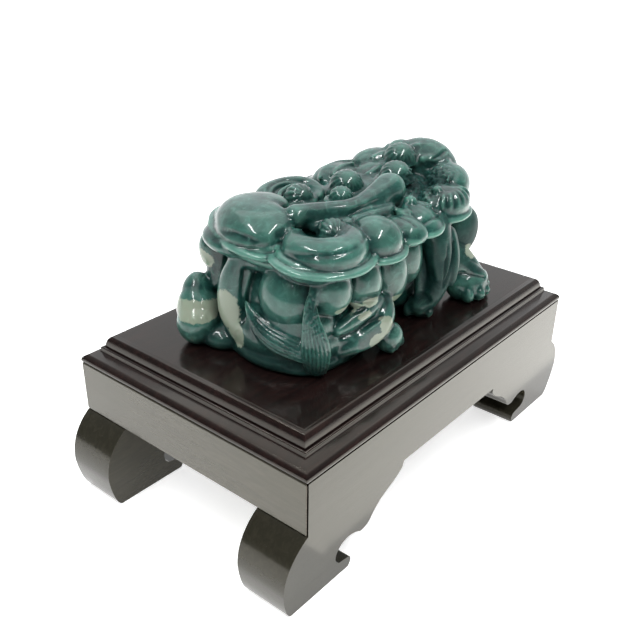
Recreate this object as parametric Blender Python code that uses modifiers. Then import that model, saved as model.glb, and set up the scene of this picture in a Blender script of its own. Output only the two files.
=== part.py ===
"""Jade pixiu carving resting on a dark lacquered wooden stand."""
import bpy
import bmesh
from math import cos, pi, radians, sin
from mathutils import Euler, Matrix

# Clear the scene
for thing in list(bpy.data.objects):
    bpy.data.objects.remove(thing, do_unlink=True)

# Driving sizes of the stand, in metres
MM = 0.001
STAND_LENGTH = 108 * MM
STAND_WIDTH = 71 * MM
PLATE_TOP = 40.4 * MM
BOARD_SEAT = 33.5 * MM
APRON_BOTTOM = 20.2 * MM
FOOT_REACH = 60 * MM
RAIL_THICK = 14 * MM
APRON_THICK = 6 * MM
MOULDING = 6.3 * MM
FOOT_DRAFT = 1.6 * MM
EDGE = 0.35 * MM
JOINT = 0.3 * MM

# Driving sizes of the carving: its length, and the unit its carving is set out in
CARVING_LENGTH = 76 * MM
U = CARVING_LENGTH / 76
VOXEL = 0.62 * MM
CARVING_TRIS = 8200

HALF_L = STAND_LENGTH / 2
HALF_W = STAND_WIDTH / 2
CARVING_SEAT = PLATE_TOP + JOINT

model = bpy.data.collections.new("jade_pixiu_on_stand")
bpy.context.scene.collection.children.link(model)
cutters = bpy.data.collections.new("cutters")
bpy.context.scene.collection.children.link(cutters)


# Materials
def material(name, colour, roughness, coat=0.0):
    """One Principled material with a plain colour."""
    made = bpy.data.materials.new(name)
    made.use_nodes = True
    shader = made.node_tree.nodes["Principled BSDF"]
    shader.inputs["Base Color"].default_value = (*colour, 1.0)
    shader.inputs["Roughness"].default_value = roughness
    shader.inputs["Coat Weight"].default_value = coat
    made.diffuse_color = (*colour, 1.0)
    return made


JADE = material("nephrite_jade", (0.045, 0.17, 0.135), 0.22, 0.4)
BOARD_WOOD = material("lacquered_board", (0.022, 0.012, 0.011), 0.18, 0.5)
RAIL_WOOD = material("lacquered_rail", (0.028, 0.017, 0.014), 0.2, 0.5)
APRON_WOOD = material("lacquered_apron", (0.026, 0.016, 0.013), 0.22, 0.5)


# Object tools
def add_object(name, mesh, where, coat=None):
    """Link a mesh as a named object in a collection."""
    made = bpy.data.objects.new(name, mesh)
    where.objects.link(made)
    if coat:
        mesh.materials.clear()
        mesh.materials.append(coat)
    if where is cutters:
        made.hide_render = True
        made.display_type = "WIRE"
    return made


def bake(thing):
    """Put the result of an object's modifiers into its mesh."""
    graph = bpy.context.evaluated_depsgraph_get()
    graph.update()
    baked = bpy.data.meshes.new_from_object(thing.evaluated_get(graph))
    thing.modifiers.clear()
    thing.data = baked


def curve_mesh(curve):
    """Turn a curve into a mesh with its seams merged."""
    holder = bpy.data.objects.new("outline", curve)
    cutters.objects.link(holder)
    graph = bpy.context.evaluated_depsgraph_get()
    graph.update()
    mesh = bpy.data.meshes.new_from_object(holder.evaluated_get(graph))
    bpy.data.objects.remove(holder, do_unlink=True)
    work = bmesh.new()
    work.from_mesh(mesh)
    bmesh.ops.remove_doubles(work, verts=work.verts, dist=0.000002)
    bmesh.ops.recalc_face_normals(work, faces=work.faces)
    work.to_mesh(mesh)
    work.free()
    return mesh


def cut_with(thing, cutter):
    """Take a cutter's shape out of an object."""
    step = thing.modifiers.new("cut", "BOOLEAN")
    step.operation = "DIFFERENCE"
    step.solver = "EXACT"
    step.object = cutter
    bake(thing)


def bevel(thing, width, segments=1, angle=35):
    """Soften an object's sharp edges."""
    step = thing.modifiers.new("edge", "BEVEL")
    step.width = width
    step.segments = segments
    step.limit_method = "ANGLE"
    step.angle_limit = radians(angle)
    bake(thing)


# Outline tools
def sweep_line(start, pull_start, pull_end, end, count):
    """Points along a cubic curve, the start left out."""
    points = []
    for i in range(1, count + 1):
        t = i / count
        s = 1 - t
        weights = (s * s * s, 3 * s * s * t, 3 * s * t * t, t * t * t)
        ends = (start, pull_start, pull_end, end)
        points.append(tuple(sum(w * e[k] for w, e in zip(weights, ends)) for k in (0, 1)))
    return points


def slab(name, outline, depth, edge):
    """A flat outline drawn out to a depth, with eased edges and filled ends."""
    curve = bpy.data.curves.new(name, "CURVE")
    curve.dimensions = "2D"
    curve.fill_mode = "BOTH"
    curve.extrude = depth / 2 - edge
    curve.bevel_depth = edge
    curve.bevel_resolution = 0
    curve.offset = -edge
    line = curve.splines.new("POLY")
    line.points.add(len(outline) - 1)
    for point, (a, b) in zip(line.points, outline):
        point.co = (a, b, 0, 1)
    line.use_cyclic_u = True
    return curve_mesh(curve)


# Side rail outline: half of the apron's lower edge, the cusp, the scrolled foot and its toe
def half_rail():
    """Points from the middle of the lower edge round the foot to the top corner."""
    mid = APRON_BOTTOM
    toe = FOOT_REACH * 0.625
    heel = FOOT_REACH * 0.957
    brow = FOOT_REACH * 0.335
    cusp = FOOT_REACH * 0.57
    throat = FOOT_REACH * 0.717
    line = [(brow, mid)]
    line.append((brow + 0.3 * MM, mid - 1.6 * MM))
    line += sweep_line(line[-1], (brow + 3 * MM, mid - 5 * MM), (cusp - 7 * MM, mid - 4.6 * MM),
                       (cusp - 3.6 * MM, mid - 9.4 * MM), 6)
    line += sweep_line(line[-1], (cusp - 2.8 * MM, mid - 11.2 * MM), (cusp - 1.6 * MM, mid - 11.8 * MM),
                       (cusp + 0.4 * MM, mid - 11.7 * MM), 3)
    line += sweep_line(line[-1], (cusp + 3.4 * MM, mid - 9.6 * MM), (throat - 1.2 * MM, mid - 9.2 * MM),
                       (throat, mid - 13.4 * MM), 6)
    line += sweep_line(line[-1], (throat, mid - 15.2 * MM), (throat - 0.5 * MM, mid - 16 * MM),
                       (throat - 1.6 * MM, mid - 16.4 * MM), 3)
    line.append((toe + 0.5 * MM, mid - 17 * MM))
    line += sweep_line(line[-1], (toe - 0.6 * MM, mid - 17.3 * MM), (toe - 0.7 * MM, 1.2 * MM),
                       (toe + 0.3 * MM, 0), 3)
    line.append((heel - 0.6 * MM, 0))
    line += sweep_line(line[-1], (heel + 0.6 * MM, 0), (FOOT_REACH - 0.6 * MM, 3.2 * MM),
                       (FOOT_REACH, mid * 0.42), 4)
    line += sweep_line(line[-1], (FOOT_REACH + 0.1 * MM, mid * 0.66), (FOOT_REACH - 2 * MM, mid * 0.86),
                       (HALF_L - 0.2 * MM, mid), 6)
    line.append((HALF_L, mid + 0.1 * MM))
    line.append((HALF_L, BOARD_SEAT))
    return line


def side_rail(name, side):
    """Apron board and both scroll feet cut from one piece."""
    right = half_rail()
    outline = right + [(-x, z) for x, z in reversed(right)]
    mesh = slab(name, outline, RAIL_THICK, EDGE)
    place = Matrix.Translation((0, side * (HALF_W - RAIL_THICK / 2), 0)) @ Matrix.Rotation(pi / 2, 4, "X")
    mesh.transform(place)
    for vertex in mesh.vertices:
        outer = side * vertex.co.y > HALF_W - RAIL_THICK / 2
        if outer and vertex.co.z < APRON_BOTTOM:
            vertex.co.y -= side * FOOT_DRAFT * (1 - vertex.co.z / APRON_BOTTOM)
    rail = add_object(name, mesh, model, RAIL_WOOD)
    for end in (-1, 1):
        cutter = add_object("mitre", end_board(end, JOINT), cutters)
        cut_with(rail, cutter)
        bpy.data.objects.remove(cutter, do_unlink=True)
    return rail


# End aprons, mitred into the rails
def end_board(end, grow):
    """A short end board with slanted ends, or the room it needs in the rails."""
    spare = 4 * MM if grow else 0
    outer = HALF_L + spare
    inner = HALF_L - APRON_THICK - grow
    outer_half = HALF_W + spare + grow * 1.4
    inner_half = HALF_W - APRON_THICK + grow * 0.4
    low = APRON_BOTTOM + (0 if grow else JOINT)
    high = BOARD_SEAT + spare
    work = bmesh.new()
    bmesh.ops.create_cube(work, size=2)
    for vertex in work.verts:
        out = vertex.co.x * end > 0
        vertex.co.x = end * (outer if out else inner)
        vertex.co.y *= outer_half if out else inner_half
        vertex.co.z = high if vertex.co.z > 0 else low
    mesh = bpy.data.meshes.new("end_board")
    work.to_mesh(mesh)
    work.free()
    return mesh


def end_apron(name, end):
    """One short apron with eased edges."""
    board = add_object(name, end_board(end, 0), model, APRON_WOOD)
    bevel(board, EDGE * 0.8)
    return board


# Top board: a moulded edge of slope, bead and round
def moulding_line():
    """Inset and height of each line of the moulding, from the seat to the plate."""
    low = BOARD_SEAT + JOINT
    rise = PLATE_TOP - low
    line = [(0.25 * MM, low), (0, low + 0.3 * MM)]
    line += sweep_line(line[-1], (0, low + rise * 0.2), (MOULDING * 0.16, low + rise * 0.27),
                       (MOULDING * 0.52, low + rise * 0.38), 4)
    line.append((MOULDING * 0.55, low + rise * 0.5))
    line += sweep_line(line[-1], (MOULDING * 0.55, low + rise * 0.6), (MOULDING * 0.66, low + rise * 0.6),
                       (MOULDING * 0.67, low + rise * 0.52), 3)
    line += sweep_line(line[-1], (MOULDING * 0.7, low + rise * 0.8), (MOULDING * 0.78, low + rise * 0.97),
                       (MOULDING * 0.97, low + rise * 0.985), 4)
    line.append((MOULDING, PLATE_TOP))
    return line


def stand_top(name):
    """The moulded board the carving rests on, drawn up line by line from a thin block."""
    line = moulding_line()
    work = bmesh.new()
    bmesh.ops.create_cube(work, size=2)

    def settle(verts, inset, height):
        for vertex in verts:
            vertex.co.x = (HALF_L - inset) * (1 if vertex.co.x > 0 else -1)
            vertex.co.y = (HALF_W - inset) * (1 if vertex.co.y > 0 else -1)
            vertex.co.z = height

    roof = max(work.faces, key=lambda face: face.calc_center_median().z)
    settle([vertex for vertex in work.verts if vertex.co.z < 0], *line[0])
    settle(roof.verts, *line[1])
    for inset, height in line[2:]:
        lifted = bmesh.ops.extrude_face_region(work, geom=[roof])["geom"]
        bmesh.ops.delete(work, geom=[roof], context="FACES_ONLY")
        roof = next(item for item in lifted if isinstance(item, bmesh.types.BMFace))
        settle(roof.verts, inset, height)
    bmesh.ops.recalc_face_normals(work, faces=work.faces)
    mesh = bpy.data.meshes.new(name)
    work.to_mesh(mesh)
    work.free()
    return add_object(name, mesh, model, BOARD_WOOD)


# Carving tools: every form is added to one working mesh, in carving units
carved = bmesh.new()
section = bpy.data.curves.new("section", "CURVE")
section.dimensions = "2D"
ring_line = section.splines.new("POLY")
ring_line.points.add(15)
ring_line.use_cyclic_u = True
section_object = bpy.data.objects.new("section", section)
cutters.objects.link(section_object)
section_object.hide_render = True


def round_form():
    """A unit sphere kept as the pattern for every lobe."""
    work = bmesh.new()
    bmesh.ops.create_uvsphere(work, u_segments=40, v_segments=20, radius=1)
    mesh = bpy.data.meshes.new("round")
    work.to_mesh(mesh)
    work.free()
    return mesh


ROUND = round_form()


def lobe(x, y, z, rx, ry, rz, turn=0, lean=0, roll=0):
    """A rounded lobe: its middle, its three half sizes and its turns in degrees."""
    spin = Euler((radians(roll), radians(lean), radians(turn))).to_matrix().to_4x4()
    form = ROUND.copy()
    form.transform(Matrix.Translation((x, y, z)) @ spin @ Matrix.Diagonal((rx, ry, rz, 1)))
    carved.from_mesh(form)
    bpy.data.meshes.remove(form)


def strand(points, sizes, flat=1.0, closed=False, tilt=0.0):
    """A rounded strand through some points, thick as its sizes say, flattened if asked."""
    for i, point in enumerate(ring_line.points):
        angle = 2 * pi * i / len(ring_line.points)
        point.co = (cos(angle), sin(angle) * flat, 0, 1)
    curve = bpy.data.curves.new("strand", "CURVE")
    curve.dimensions = "3D"
    curve.twist_mode = "Z_UP"
    curve.resolution_u = 8
    curve.bevel_mode = "OBJECT"
    curve.bevel_object = section_object
    curve.use_fill_caps = not closed
    line = curve.splines.new("NURBS")
    line.points.add(len(points) - 1)
    for i, (point, place) in enumerate(zip(line.points, points)):
        point.co = (*place, 1)
        point.radius = sizes[min(i, len(sizes) - 1)]
        point.tilt = radians(tilt)
    line.order_u = min(4, len(points))
    line.use_endpoint_u = not closed
    line.use_cyclic_u = closed
    mesh = curve_mesh(curve)
    carved.from_mesh(mesh)
    bpy.data.meshes.remove(mesh)
    if not closed:
        for place, size in ((points[0], sizes[0]), (points[-1], sizes[min(len(points), len(sizes)) - 1])):
            lobe(*place, size * 0.97, size * 0.97, size * 0.97 * min(flat, 1))


def oval(x, y, z, rx, ry, count, start=0, sweep=360, tip=0.0):
    """Points round an oval, tipped down toward the outside of the carving if asked."""
    points = []
    for i in range(count):
        angle = radians(start + sweep * i / (count if sweep == 360 else count - 1))
        points.append((x + rx * cos(angle), y + ry * sin(angle), z + tip * sin(angle)))
    return points


# The body under the clouds
def body():
    """The crouching mass that all the carving stands out of."""
    lobe(-19, -1.5, 12, 16.5, 18.5, 15)
    lobe(2, -1, 12, 22, 16.5, 15)
    lobe(20, -1, 14, 13, 14.5, 15)
    lobe(-8, -1, 23, 27, 18, 6.5)
    lobe(-22, -4.6, 3.4, 15.4, 16.6, 8)
    lobe(14, -1, 4, 19, 16, 7)
    lobe(12, 0, 27, 19, 14, 6)


# The ruyi head: three lobes, each with a thin rim and a raised crescent
def ruyi():
    """Rims, crescents and curls over the rump."""
    lobe(-23.8, -13, 24.2, 10.8, 10, 4)
    strand(oval(-23.6, -13.2, 25, 12, 11.2, 12, tip=0.7), [1.3], 0.8, True)
    lobe(-25.2, 5.4, 24.8, 10, 10.6, 4.2)
    strand(oval(-25.2, 5.4, 25.4, 10.8, 11.6, 12, tip=-0.6), [1.3], 0.8, True)
    lobe(-5, 11.4, 26.5, 8.4, 7.4, 4.2)
    strand(oval(-4.6, 11.4, 27, 8.4, 7, 12, tip=-0.5), [1.2], 0.8, True)
    strand([(-26.6, -6.6, 27.6), (-31, -11.8, 27), (-29.8, -17.2, 26.8), (-25, -20.6, 26.6), (-19, -18.8, 27),
            (-16.2, -15, 27.4)], [2.6, 4, 4.5, 4.4, 3.8, 2.6], 0.9)
    lobe(-25, 6, 27.8, 9, 9.6, 4.4, turn=8)
    strand([(-29.6, -1.4, 28), (-26.4, -5.4, 28.8)], [3.6, 1.7], 0.9)
    strand([(-21.6, 3, 29), (-20, -1.8, 30.4)], [3.2, 1.3], 0.9)
    strand([(-13, 13.4, 28.2), (-6.6, 15.6, 28.8), (0.2, 14.8, 29), (1.6, 9, 29.4)], [2.8, 3.6, 3.5, 2.2], 0.9)
    lobe(-19.2, -12, 28.2, 3.4, 3.4, 2.8)
    lobe(-10.4, 4, 29.6, 3.5, 3.3, 2.8)
    lobe(-23.6, -1.2, 30, 1.6, 1.6, 1.6)


# The stem that crosses the top
def stem():
    """The smooth stem with its flared end, and the fold beside it."""
    strand([(-22.8, -5.2, 30.8), (-19, -8, 31.2), (-10, -11.8, 31.2), (-1, -11.8, 31.8), (7.4, -8.6, 32.8)],
           [2.6, 2.9, 2.8, 3.1, 4], 0.95)
    strand([(-17, -14, 28.8), (-10, -15.8, 28.8), (2, -13.4, 29.6)], [1.6, 2.1, 1.9])


# Cloud lobes along both edges of the top
def cloud(x, y, z, rx, ry, rise, bead, side):
    """One cloud lobe: a rim, a dome and a small curled bead on its inner side."""
    lobe(x, y, z - 1.2, rx, ry, 3.4)
    strand(oval(x, y, z - 1.2, rx, ry, 10, tip=-0.8 * side), [1.15], 0.8, True)
    lobe(x, y - side * ry * 0.1, z + rise * 0.2, rx * 0.74, ry * 0.74, rise)
    if bead:
        lobe(x + rx * 0.3, y - side * ry * 0.62, z + rise * 0.9, bead, bead, bead)


def clouds():
    """The lobes of both edges and the small domes between them."""
    lobe(-12.2, -18.6, 25.8, 6.2, 5.8, 5, turn=-10)
    strand(oval(-12, -18.4, 24.4, 7.4, 6.8, 10, tip=0.8), [1.1], 0.8, True)
    lobe(-1.8, -17.6, 26, 4.8, 6.2, 4, turn=18)
    strand([(-4.6, -13.4, 29.4), (-0.6, -18, 28.6), (0.4, -22, 25.8), (-2.6, -23, 24.4)], [1, 1.3, 1.2, 0.9])
    cloud(5.2, -17.4, 26.4, 6.4, 5.8, 2.6, 2.3, -1)
    cloud(17.6, -17, 26.6, 8, 6, 3, 2, -1)
    cloud(14.4, 12.6, 27.8, 8.4, 7, 3.4, 0, 1)
    cloud(26.6, 10.2, 28.8, 8, 6.8, 3.8, 0, 1)
    for x, y, z, r in ((5.4, 1.6, 29.8, 4.4), (-4.6, -3.4, 29.8, 3.8), (16.4, -4.4, 31, 4.6), (24.4, 1, 33, 4.2)):
        lobe(x, y, z, r, r * 0.92, r * 0.8)


# The head at the front end
def head():
    """Crown, brow, eyes, snout, jaws and ears."""
    lobe(29.4, -1.4, 28, 9.4, 10.4, 8.6)
    lobe(22.8, -12.4, 27.2, 8.4, 7, 6)
    lobe(24, 11.6, 24.6, 8, 6.6, 6)
    lobe(31, 0, 17.4, 8.2, 10, 8.6)
    for side in (-1, 1):
        lobe(35.4, side * 4.6, 24, 3.4, 4.2, 2.2, turn=side * 24)
        lobe(36.4, side * 4.4, 20.9, 1.9, 2, 1.9)
        lobe(32.6, side * 9.2, 15.6, 4.4, 3.4, 4.8)
        lobe(38.4, side * 2.1, 15.6, 1.9, 1.7, 1.5)
        strand([(30.4, side * 9.8, 24), (25.4, side * 14, 21), (22.4, side * 14.8, 16.4)], [2.2, 2.4, 1], 0.7)
    lobe(36, 0, 17, 3.6, 3.9, 4)
    lobe(35.6, 0, 12.6, 4.2, 6.6, 2.1)
    lobe(34.4, 0, 8.2, 4.4, 5.6, 2.5)
    lobe(32.6, 0, 5.2, 3.2, 3.8, 4.2)


# Flanks: hanging folds, legs and paws
def fold_row(side, reach):
    """Three overlapping folds hanging under the clouds, out to a reach from the middle."""
    for i in range(3):
        x = -27 + 9.3 * i
        lobe(x, side * (reach + 0.3 * i), 17.6 - 0.8 * i, 5.2, 4, 8.2, lean=-8)


def flank(side, reach):
    """One side's folds, bent hind leg, front leg and the tufts behind it."""
    fold_row(side, reach)
    lobe(-20, side * 17, 7, 9.4, 6.4, 6.6, lean=-16)
    strand([(-24.4, side * 19.4, 3), (-16, side * 21.4, 4.4), (-10.8, side * 21.4, 9), (-14.6, side * 20.4, 13.2)],
           [2.9, 3.9, 3.4, 2.2])
    lobe(-6.2, side * 20.6, 3.4, 3.6, 3.2, 3.5)
    strand([(14.4, side * 17.6, 22), (12.2, side * 20, 15), (8.4, side * 20, 8), (5, side * 20, 3.2)],
           [4.2, 4.6, 4, 3.2])
    lobe(4.2, side * 19.4, 2.6, 3.6, 3.4, 3.2)
    for i in range(3):
        x = 17.4 + 1.9 * i
        strand([(x, side * 17.4, 18 - 3 * i), (x + 1.9, side * 18.4, 12 - 3 * i), (x + 0.8, side * 17.6, 7 - 2.4 * i)],
               [1.6, 1.8, 0.8])
    lobe(24.6, side * 17.4, 17.6, 3.6, 2.9, 5.2, lean=12)
    strand([(23, side * 14.6, 11), (28.4, side * 17.4, 7), (32, side * 18.2, 3.4)], [4.8, 4.6, 3.4])
    lobe(28.4, side * 17.6, 4.2, 6, 4.8, 5)
    for i in range(3):
        lobe(33.6 - 0.8 * i, side * (15.6 + 2.6 * i), 2.2, 2.5, 1.5, 2.2)


# Rump: bent limb, hanging tassels and the hind foot
def rump():
    """Forms seen from behind under the rim."""
    lobe(-29.6, -10.4, 14.6, 6.6, 9.4, 8, roll=-12)
    strand([(-31.6, 3, 23.4), (-34.4, 5, 15.6), (-35, 3, 8), (-34.6, -3, 2.8)], [3, 3.6, 3.4, 1.6])
    strand([(-34.6, -3, 16), (-35.4, -7.4, 10.4), (-33.8, -15, 4.8)], [0.9, 3, 2.2], 0.6, tilt=35)
    strand([(-31.4, -18.8, 23), (-32.8, -19.2, 15), (-32.8, -19.8, 7.6)], [0.9, 2.4, 3.9], 0.62, tilt=20)
    lobe(-31.4, 17.8, 6.6, 5.2, 5, 7.4, roll=6)
    lobe(-30, 14.4, 17.6, 4.4, 4, 6)


body()
ruyi()
stem()
clouds()
head()
flank(-1, 18.6)
flank(1, 15)
rump()
bpy.data.objects.remove(section_object, do_unlink=True)


# Melt the forms into one skin, ease it, and cut it flat underneath
def keep_skin(work):
    """Leave only the outer skin: the largest run of joined faces."""
    seen = set()
    runs = []
    for first in work.verts:
        if first in seen:
            continue
        seen.add(first)
        run = [first]
        for vertex in run:
            for edge in vertex.link_edges:
                other = edge.other_vert(vertex)
                if other not in seen:
                    seen.add(other)
                    run.append(other)
        runs.append(run)
    runs.sort(key=len)
    for run in runs[:-1]:
        bmesh.ops.delete(work, geom=run, context="VERTS")


def whole_carving(name):
    """The carving as one closed body standing on its flat base."""
    mesh = bpy.data.meshes.new(name)
    carved.to_mesh(mesh)
    carved.free()
    mesh.transform(Matrix.Scale(U, 4))
    thing = add_object(name, mesh, model, JADE)
    skin = thing.modifiers.new("skin", "REMESH")
    skin.mode = "VOXEL"
    skin.voxel_size = VOXEL
    ease = thing.modifiers.new("ease", "SMOOTH")
    ease.factor = 0.4
    ease.iterations = 2
    bake(thing)
    work = bmesh.new()
    work.from_mesh(thing.data)
    keep_skin(work)
    every = work.verts[:] + work.edges[:] + work.faces[:]
    bmesh.ops.bisect_plane(work, geom=every, plane_co=(0, 0, 0), plane_no=(0, 0, 1), clear_inner=True)
    rim = [edge for edge in work.edges if edge.is_boundary]
    bmesh.ops.contextual_create(work, geom=rim)
    bmesh.ops.recalc_face_normals(work, faces=work.faces)
    work.to_mesh(thing.data)
    work.free()
    tris = sum(len(p.vertices) - 2 for p in thing.data.polygons)
    thin = thing.modifiers.new("thin", "DECIMATE")
    thin.ratio = CARVING_TRIS / tris
    bake(thing)
    thing.data.transform(Matrix.Translation((0, 0, CARVING_SEAT)))
    thing.data.materials.clear()
    thing.data.materials.append(JADE)
    thing.data.shade_smooth()
    return thing


whole_carving("jade_pixiu")
stand_top("stand_top")
side_rail("side_rail_right", -1)
side_rail("side_rail_left", 1)
end_apron("end_apron_rear", -1)
end_apron("end_apron_front", 1)
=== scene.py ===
"""Finished look of a jade pixiu resting on its lacquered wooden stand.

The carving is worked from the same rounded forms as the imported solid, with its lips, hair lines,
ribs, toes and fur cut finer. Lengths in the classes are millimetres, and the carving's heights
count from the top of the stand. The animal's head is at +X and its right side at -Y.
"""
from __future__ import annotations

import logging
from dataclasses import dataclass, field
from enum import Enum
from math import cos, pi, radians, sin
from typing import Any, Sequence

import bmesh
import bpy
import numpy as np
from mathutils import Euler, Matrix, Vector

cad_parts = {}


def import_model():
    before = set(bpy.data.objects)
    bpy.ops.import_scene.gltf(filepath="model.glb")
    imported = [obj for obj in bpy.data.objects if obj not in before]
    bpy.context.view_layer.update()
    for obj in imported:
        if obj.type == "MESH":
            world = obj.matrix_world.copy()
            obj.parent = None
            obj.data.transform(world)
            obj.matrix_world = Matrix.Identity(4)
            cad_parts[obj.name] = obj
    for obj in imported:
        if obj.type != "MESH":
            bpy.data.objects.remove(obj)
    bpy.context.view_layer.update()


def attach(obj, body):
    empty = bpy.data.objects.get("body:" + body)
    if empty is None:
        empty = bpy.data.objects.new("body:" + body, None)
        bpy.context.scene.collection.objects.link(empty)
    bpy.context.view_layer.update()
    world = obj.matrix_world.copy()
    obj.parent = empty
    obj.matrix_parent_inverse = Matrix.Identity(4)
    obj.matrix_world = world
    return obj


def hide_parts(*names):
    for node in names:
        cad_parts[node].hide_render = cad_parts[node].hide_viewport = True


log = logging.getLogger("jade_pixiu")

Pair = tuple[float, float]
Triple = tuple[float, float, float]
Colour = tuple[float, float, float]
MM = 0.001
UP: Triple = (0.0, 0.0, 1.0)


class Side(Enum):
    """The animal's two sides, as the sign of Y."""

    RIGHT = -1
    LEFT = 1


class End(Enum):
    """The stand's two ends, as the sign of X."""

    REAR = -1
    FRONT = 1


class Tone(Enum):
    """How a form of the carving takes the stone's colour; lip forms get painted light, as if lit through
    the thin stone.
    """

    BODY = "body"
    LIP = "lip"


# Shader maths


class Wire:
    """One value in a material that Python expressions can be written with."""

    def __init__(self, board: "NodeBoard", socket: Any) -> None:
        """Keep the board and the socket.

        Args:
            board: the material being wired.
            socket: the output socket that carries the value.
        """
        self.board = board
        self.socket = socket

    def _maths(self, operation: str, first: Any, second: Any) -> "Wire":
        """Add one Math node.

        Args:
            operation: Blender's name for the operation.
            first: first value or wire.
            second: second value or wire.

        Returns:
            The result as a wire.
        """
        return self.board.add("ShaderNodeMath", {"operation": operation}, {0: first, 1: second})

    def __add__(self, other: Any) -> "Wire":
        """Sum."""
        return self._maths("ADD", self, other)

    __radd__ = __add__

    def __sub__(self, other: Any) -> "Wire":
        """Difference."""
        return self._maths("SUBTRACT", self, other)

    def __rsub__(self, other: Any) -> "Wire":
        """Difference from a number."""
        return self._maths("SUBTRACT", other, self)

    def __mul__(self, other: Any) -> "Wire":
        """Product."""
        return self._maths("MULTIPLY", self, other)

    __rmul__ = __mul__

    def least(self, other: Any) -> "Wire":
        """The smaller of two values."""
        return self._maths("MINIMUM", self, other)

    def step(self, low: float, high: float) -> "Wire":
        """Ease from 0 at low to 1 at high.

        Args:
            low: where the step starts.
            high: where it ends.

        Returns:
            The eased value, kept between 0 and 1.
        """
        settings = {"interpolation_type": "SMOOTHSTEP"}
        return self.board.add("ShaderNodeMapRange", settings,
                              {"Value": self, "From Min": low, "From Max": high})


class NodeBoard:
    """A material and the nodes on it."""

    def __init__(self, name: str) -> None:
        """Start an empty material.

        Args:
            name: the material's name.
        """
        self.material = bpy.data.materials.new(name)
        self.material.use_nodes = True
        self.nodes = self.material.node_tree.nodes
        self.links = self.material.node_tree.links
        self.nodes.clear()
        self.place = self.add("ShaderNodeTexCoord", {}, {}, "Object")

    def add(self, kind: str, settings: dict[str, Any], sockets: dict[Any, Any], out: Any = 0) -> Wire:
        """Add a node, set it up and wire it.

        Args:
            kind: the node's type.
            settings: its settings.
            sockets: values or wires for its input sockets.
            out: the output to hand back.

        Returns:
            The chosen output as a wire.
        """
        node = self.nodes.new(kind)
        for key, value in settings.items():
            setattr(node, key, value)
        for key, value in sockets.items():
            self.join(node.inputs[key], value)
        return Wire(self, node.outputs[out])

    def join(self, socket: Any, value: Any) -> None:
        """Wire a socket, or set its value.

        Args:
            socket: the input socket.
            value: a wire, a number, a colour or a vector.
        """
        if isinstance(value, Wire):
            self.links.new(value.socket, socket)
        elif socket.type == "RGBA":
            socket.default_value = (*value, 1.0)
        else:
            socket.default_value = value

    def noise(self, per_mm: float, detail: float = 3.0, rough: float = 0.5, warp: float = 0.0,
              stretch: Triple = (1.0, 1.0, 1.0)) -> Wire:
        """Cloudy noise fixed to the object.

        Args:
            per_mm: how many waves there are in a millimetre.
            detail: how many finer layers it has.
            rough: how strong the finer layers are.
            warp: how far the noise bends itself.
            stretch: how much denser it is along each axis.

        Returns:
            A value around one half.
        """
        where = self.place
        if stretch != (1.0, 1.0, 1.0):
            where = self.add("ShaderNodeVectorMath", {"operation": "MULTIPLY"}, {0: where, 1: stretch})
        sockets = {"Vector": where, "Scale": per_mm / MM, "Detail": detail, "Roughness": rough,
                   "Distortion": warp}
        return self.add("ShaderNodeTexNoise", {}, sockets, "Fac")

    def mark(self, name: str) -> Wire:
        """A value painted on the mesh's points."""
        return self.add("ShaderNodeAttribute", {"attribute_name": name}, {}, "Fac")

    def blend(self, low: Any, high: Any, share: Any) -> Wire:
        """Mix two colours.

        Args:
            low: colour at share 0.
            high: colour at share 1.
            share: a number or wire.

        Returns:
            The mixed colour.
        """
        settings = {"data_type": "RGBA", "blend_type": "MIX", "clamp_factor": True}
        return self.add("ShaderNodeMix", settings, {0: share, 6: low, 7: high}, 2)

    def bump(self, height: Wire, depth_mm: float, strength: float = 1.0) -> Wire:
        """Fine relief from a height.

        Args:
            height: relief between 0 and 1.
            depth_mm: how deep a height of 1 is.
            strength: how strongly it shows.

        Returns:
            The bent normal.
        """
        return self.add("ShaderNodeBump", {},
                        {"Strength": strength, "Distance": depth_mm * MM, "Height": height}, 0)

    def finish(self, sockets: dict[str, Any]) -> bpy.types.Material:
        """Close the material with one surface shader.

        Args:
            sockets: values or wires for the shader's sockets.

        Returns:
            The material.
        """
        surface = self.add("ShaderNodeBsdfPrincipled", {}, sockets, "BSDF")
        output = self.nodes.new("ShaderNodeOutputMaterial")
        self.links.new(surface.socket, output.inputs["Surface"])
        return self.material


# Finishes


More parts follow.
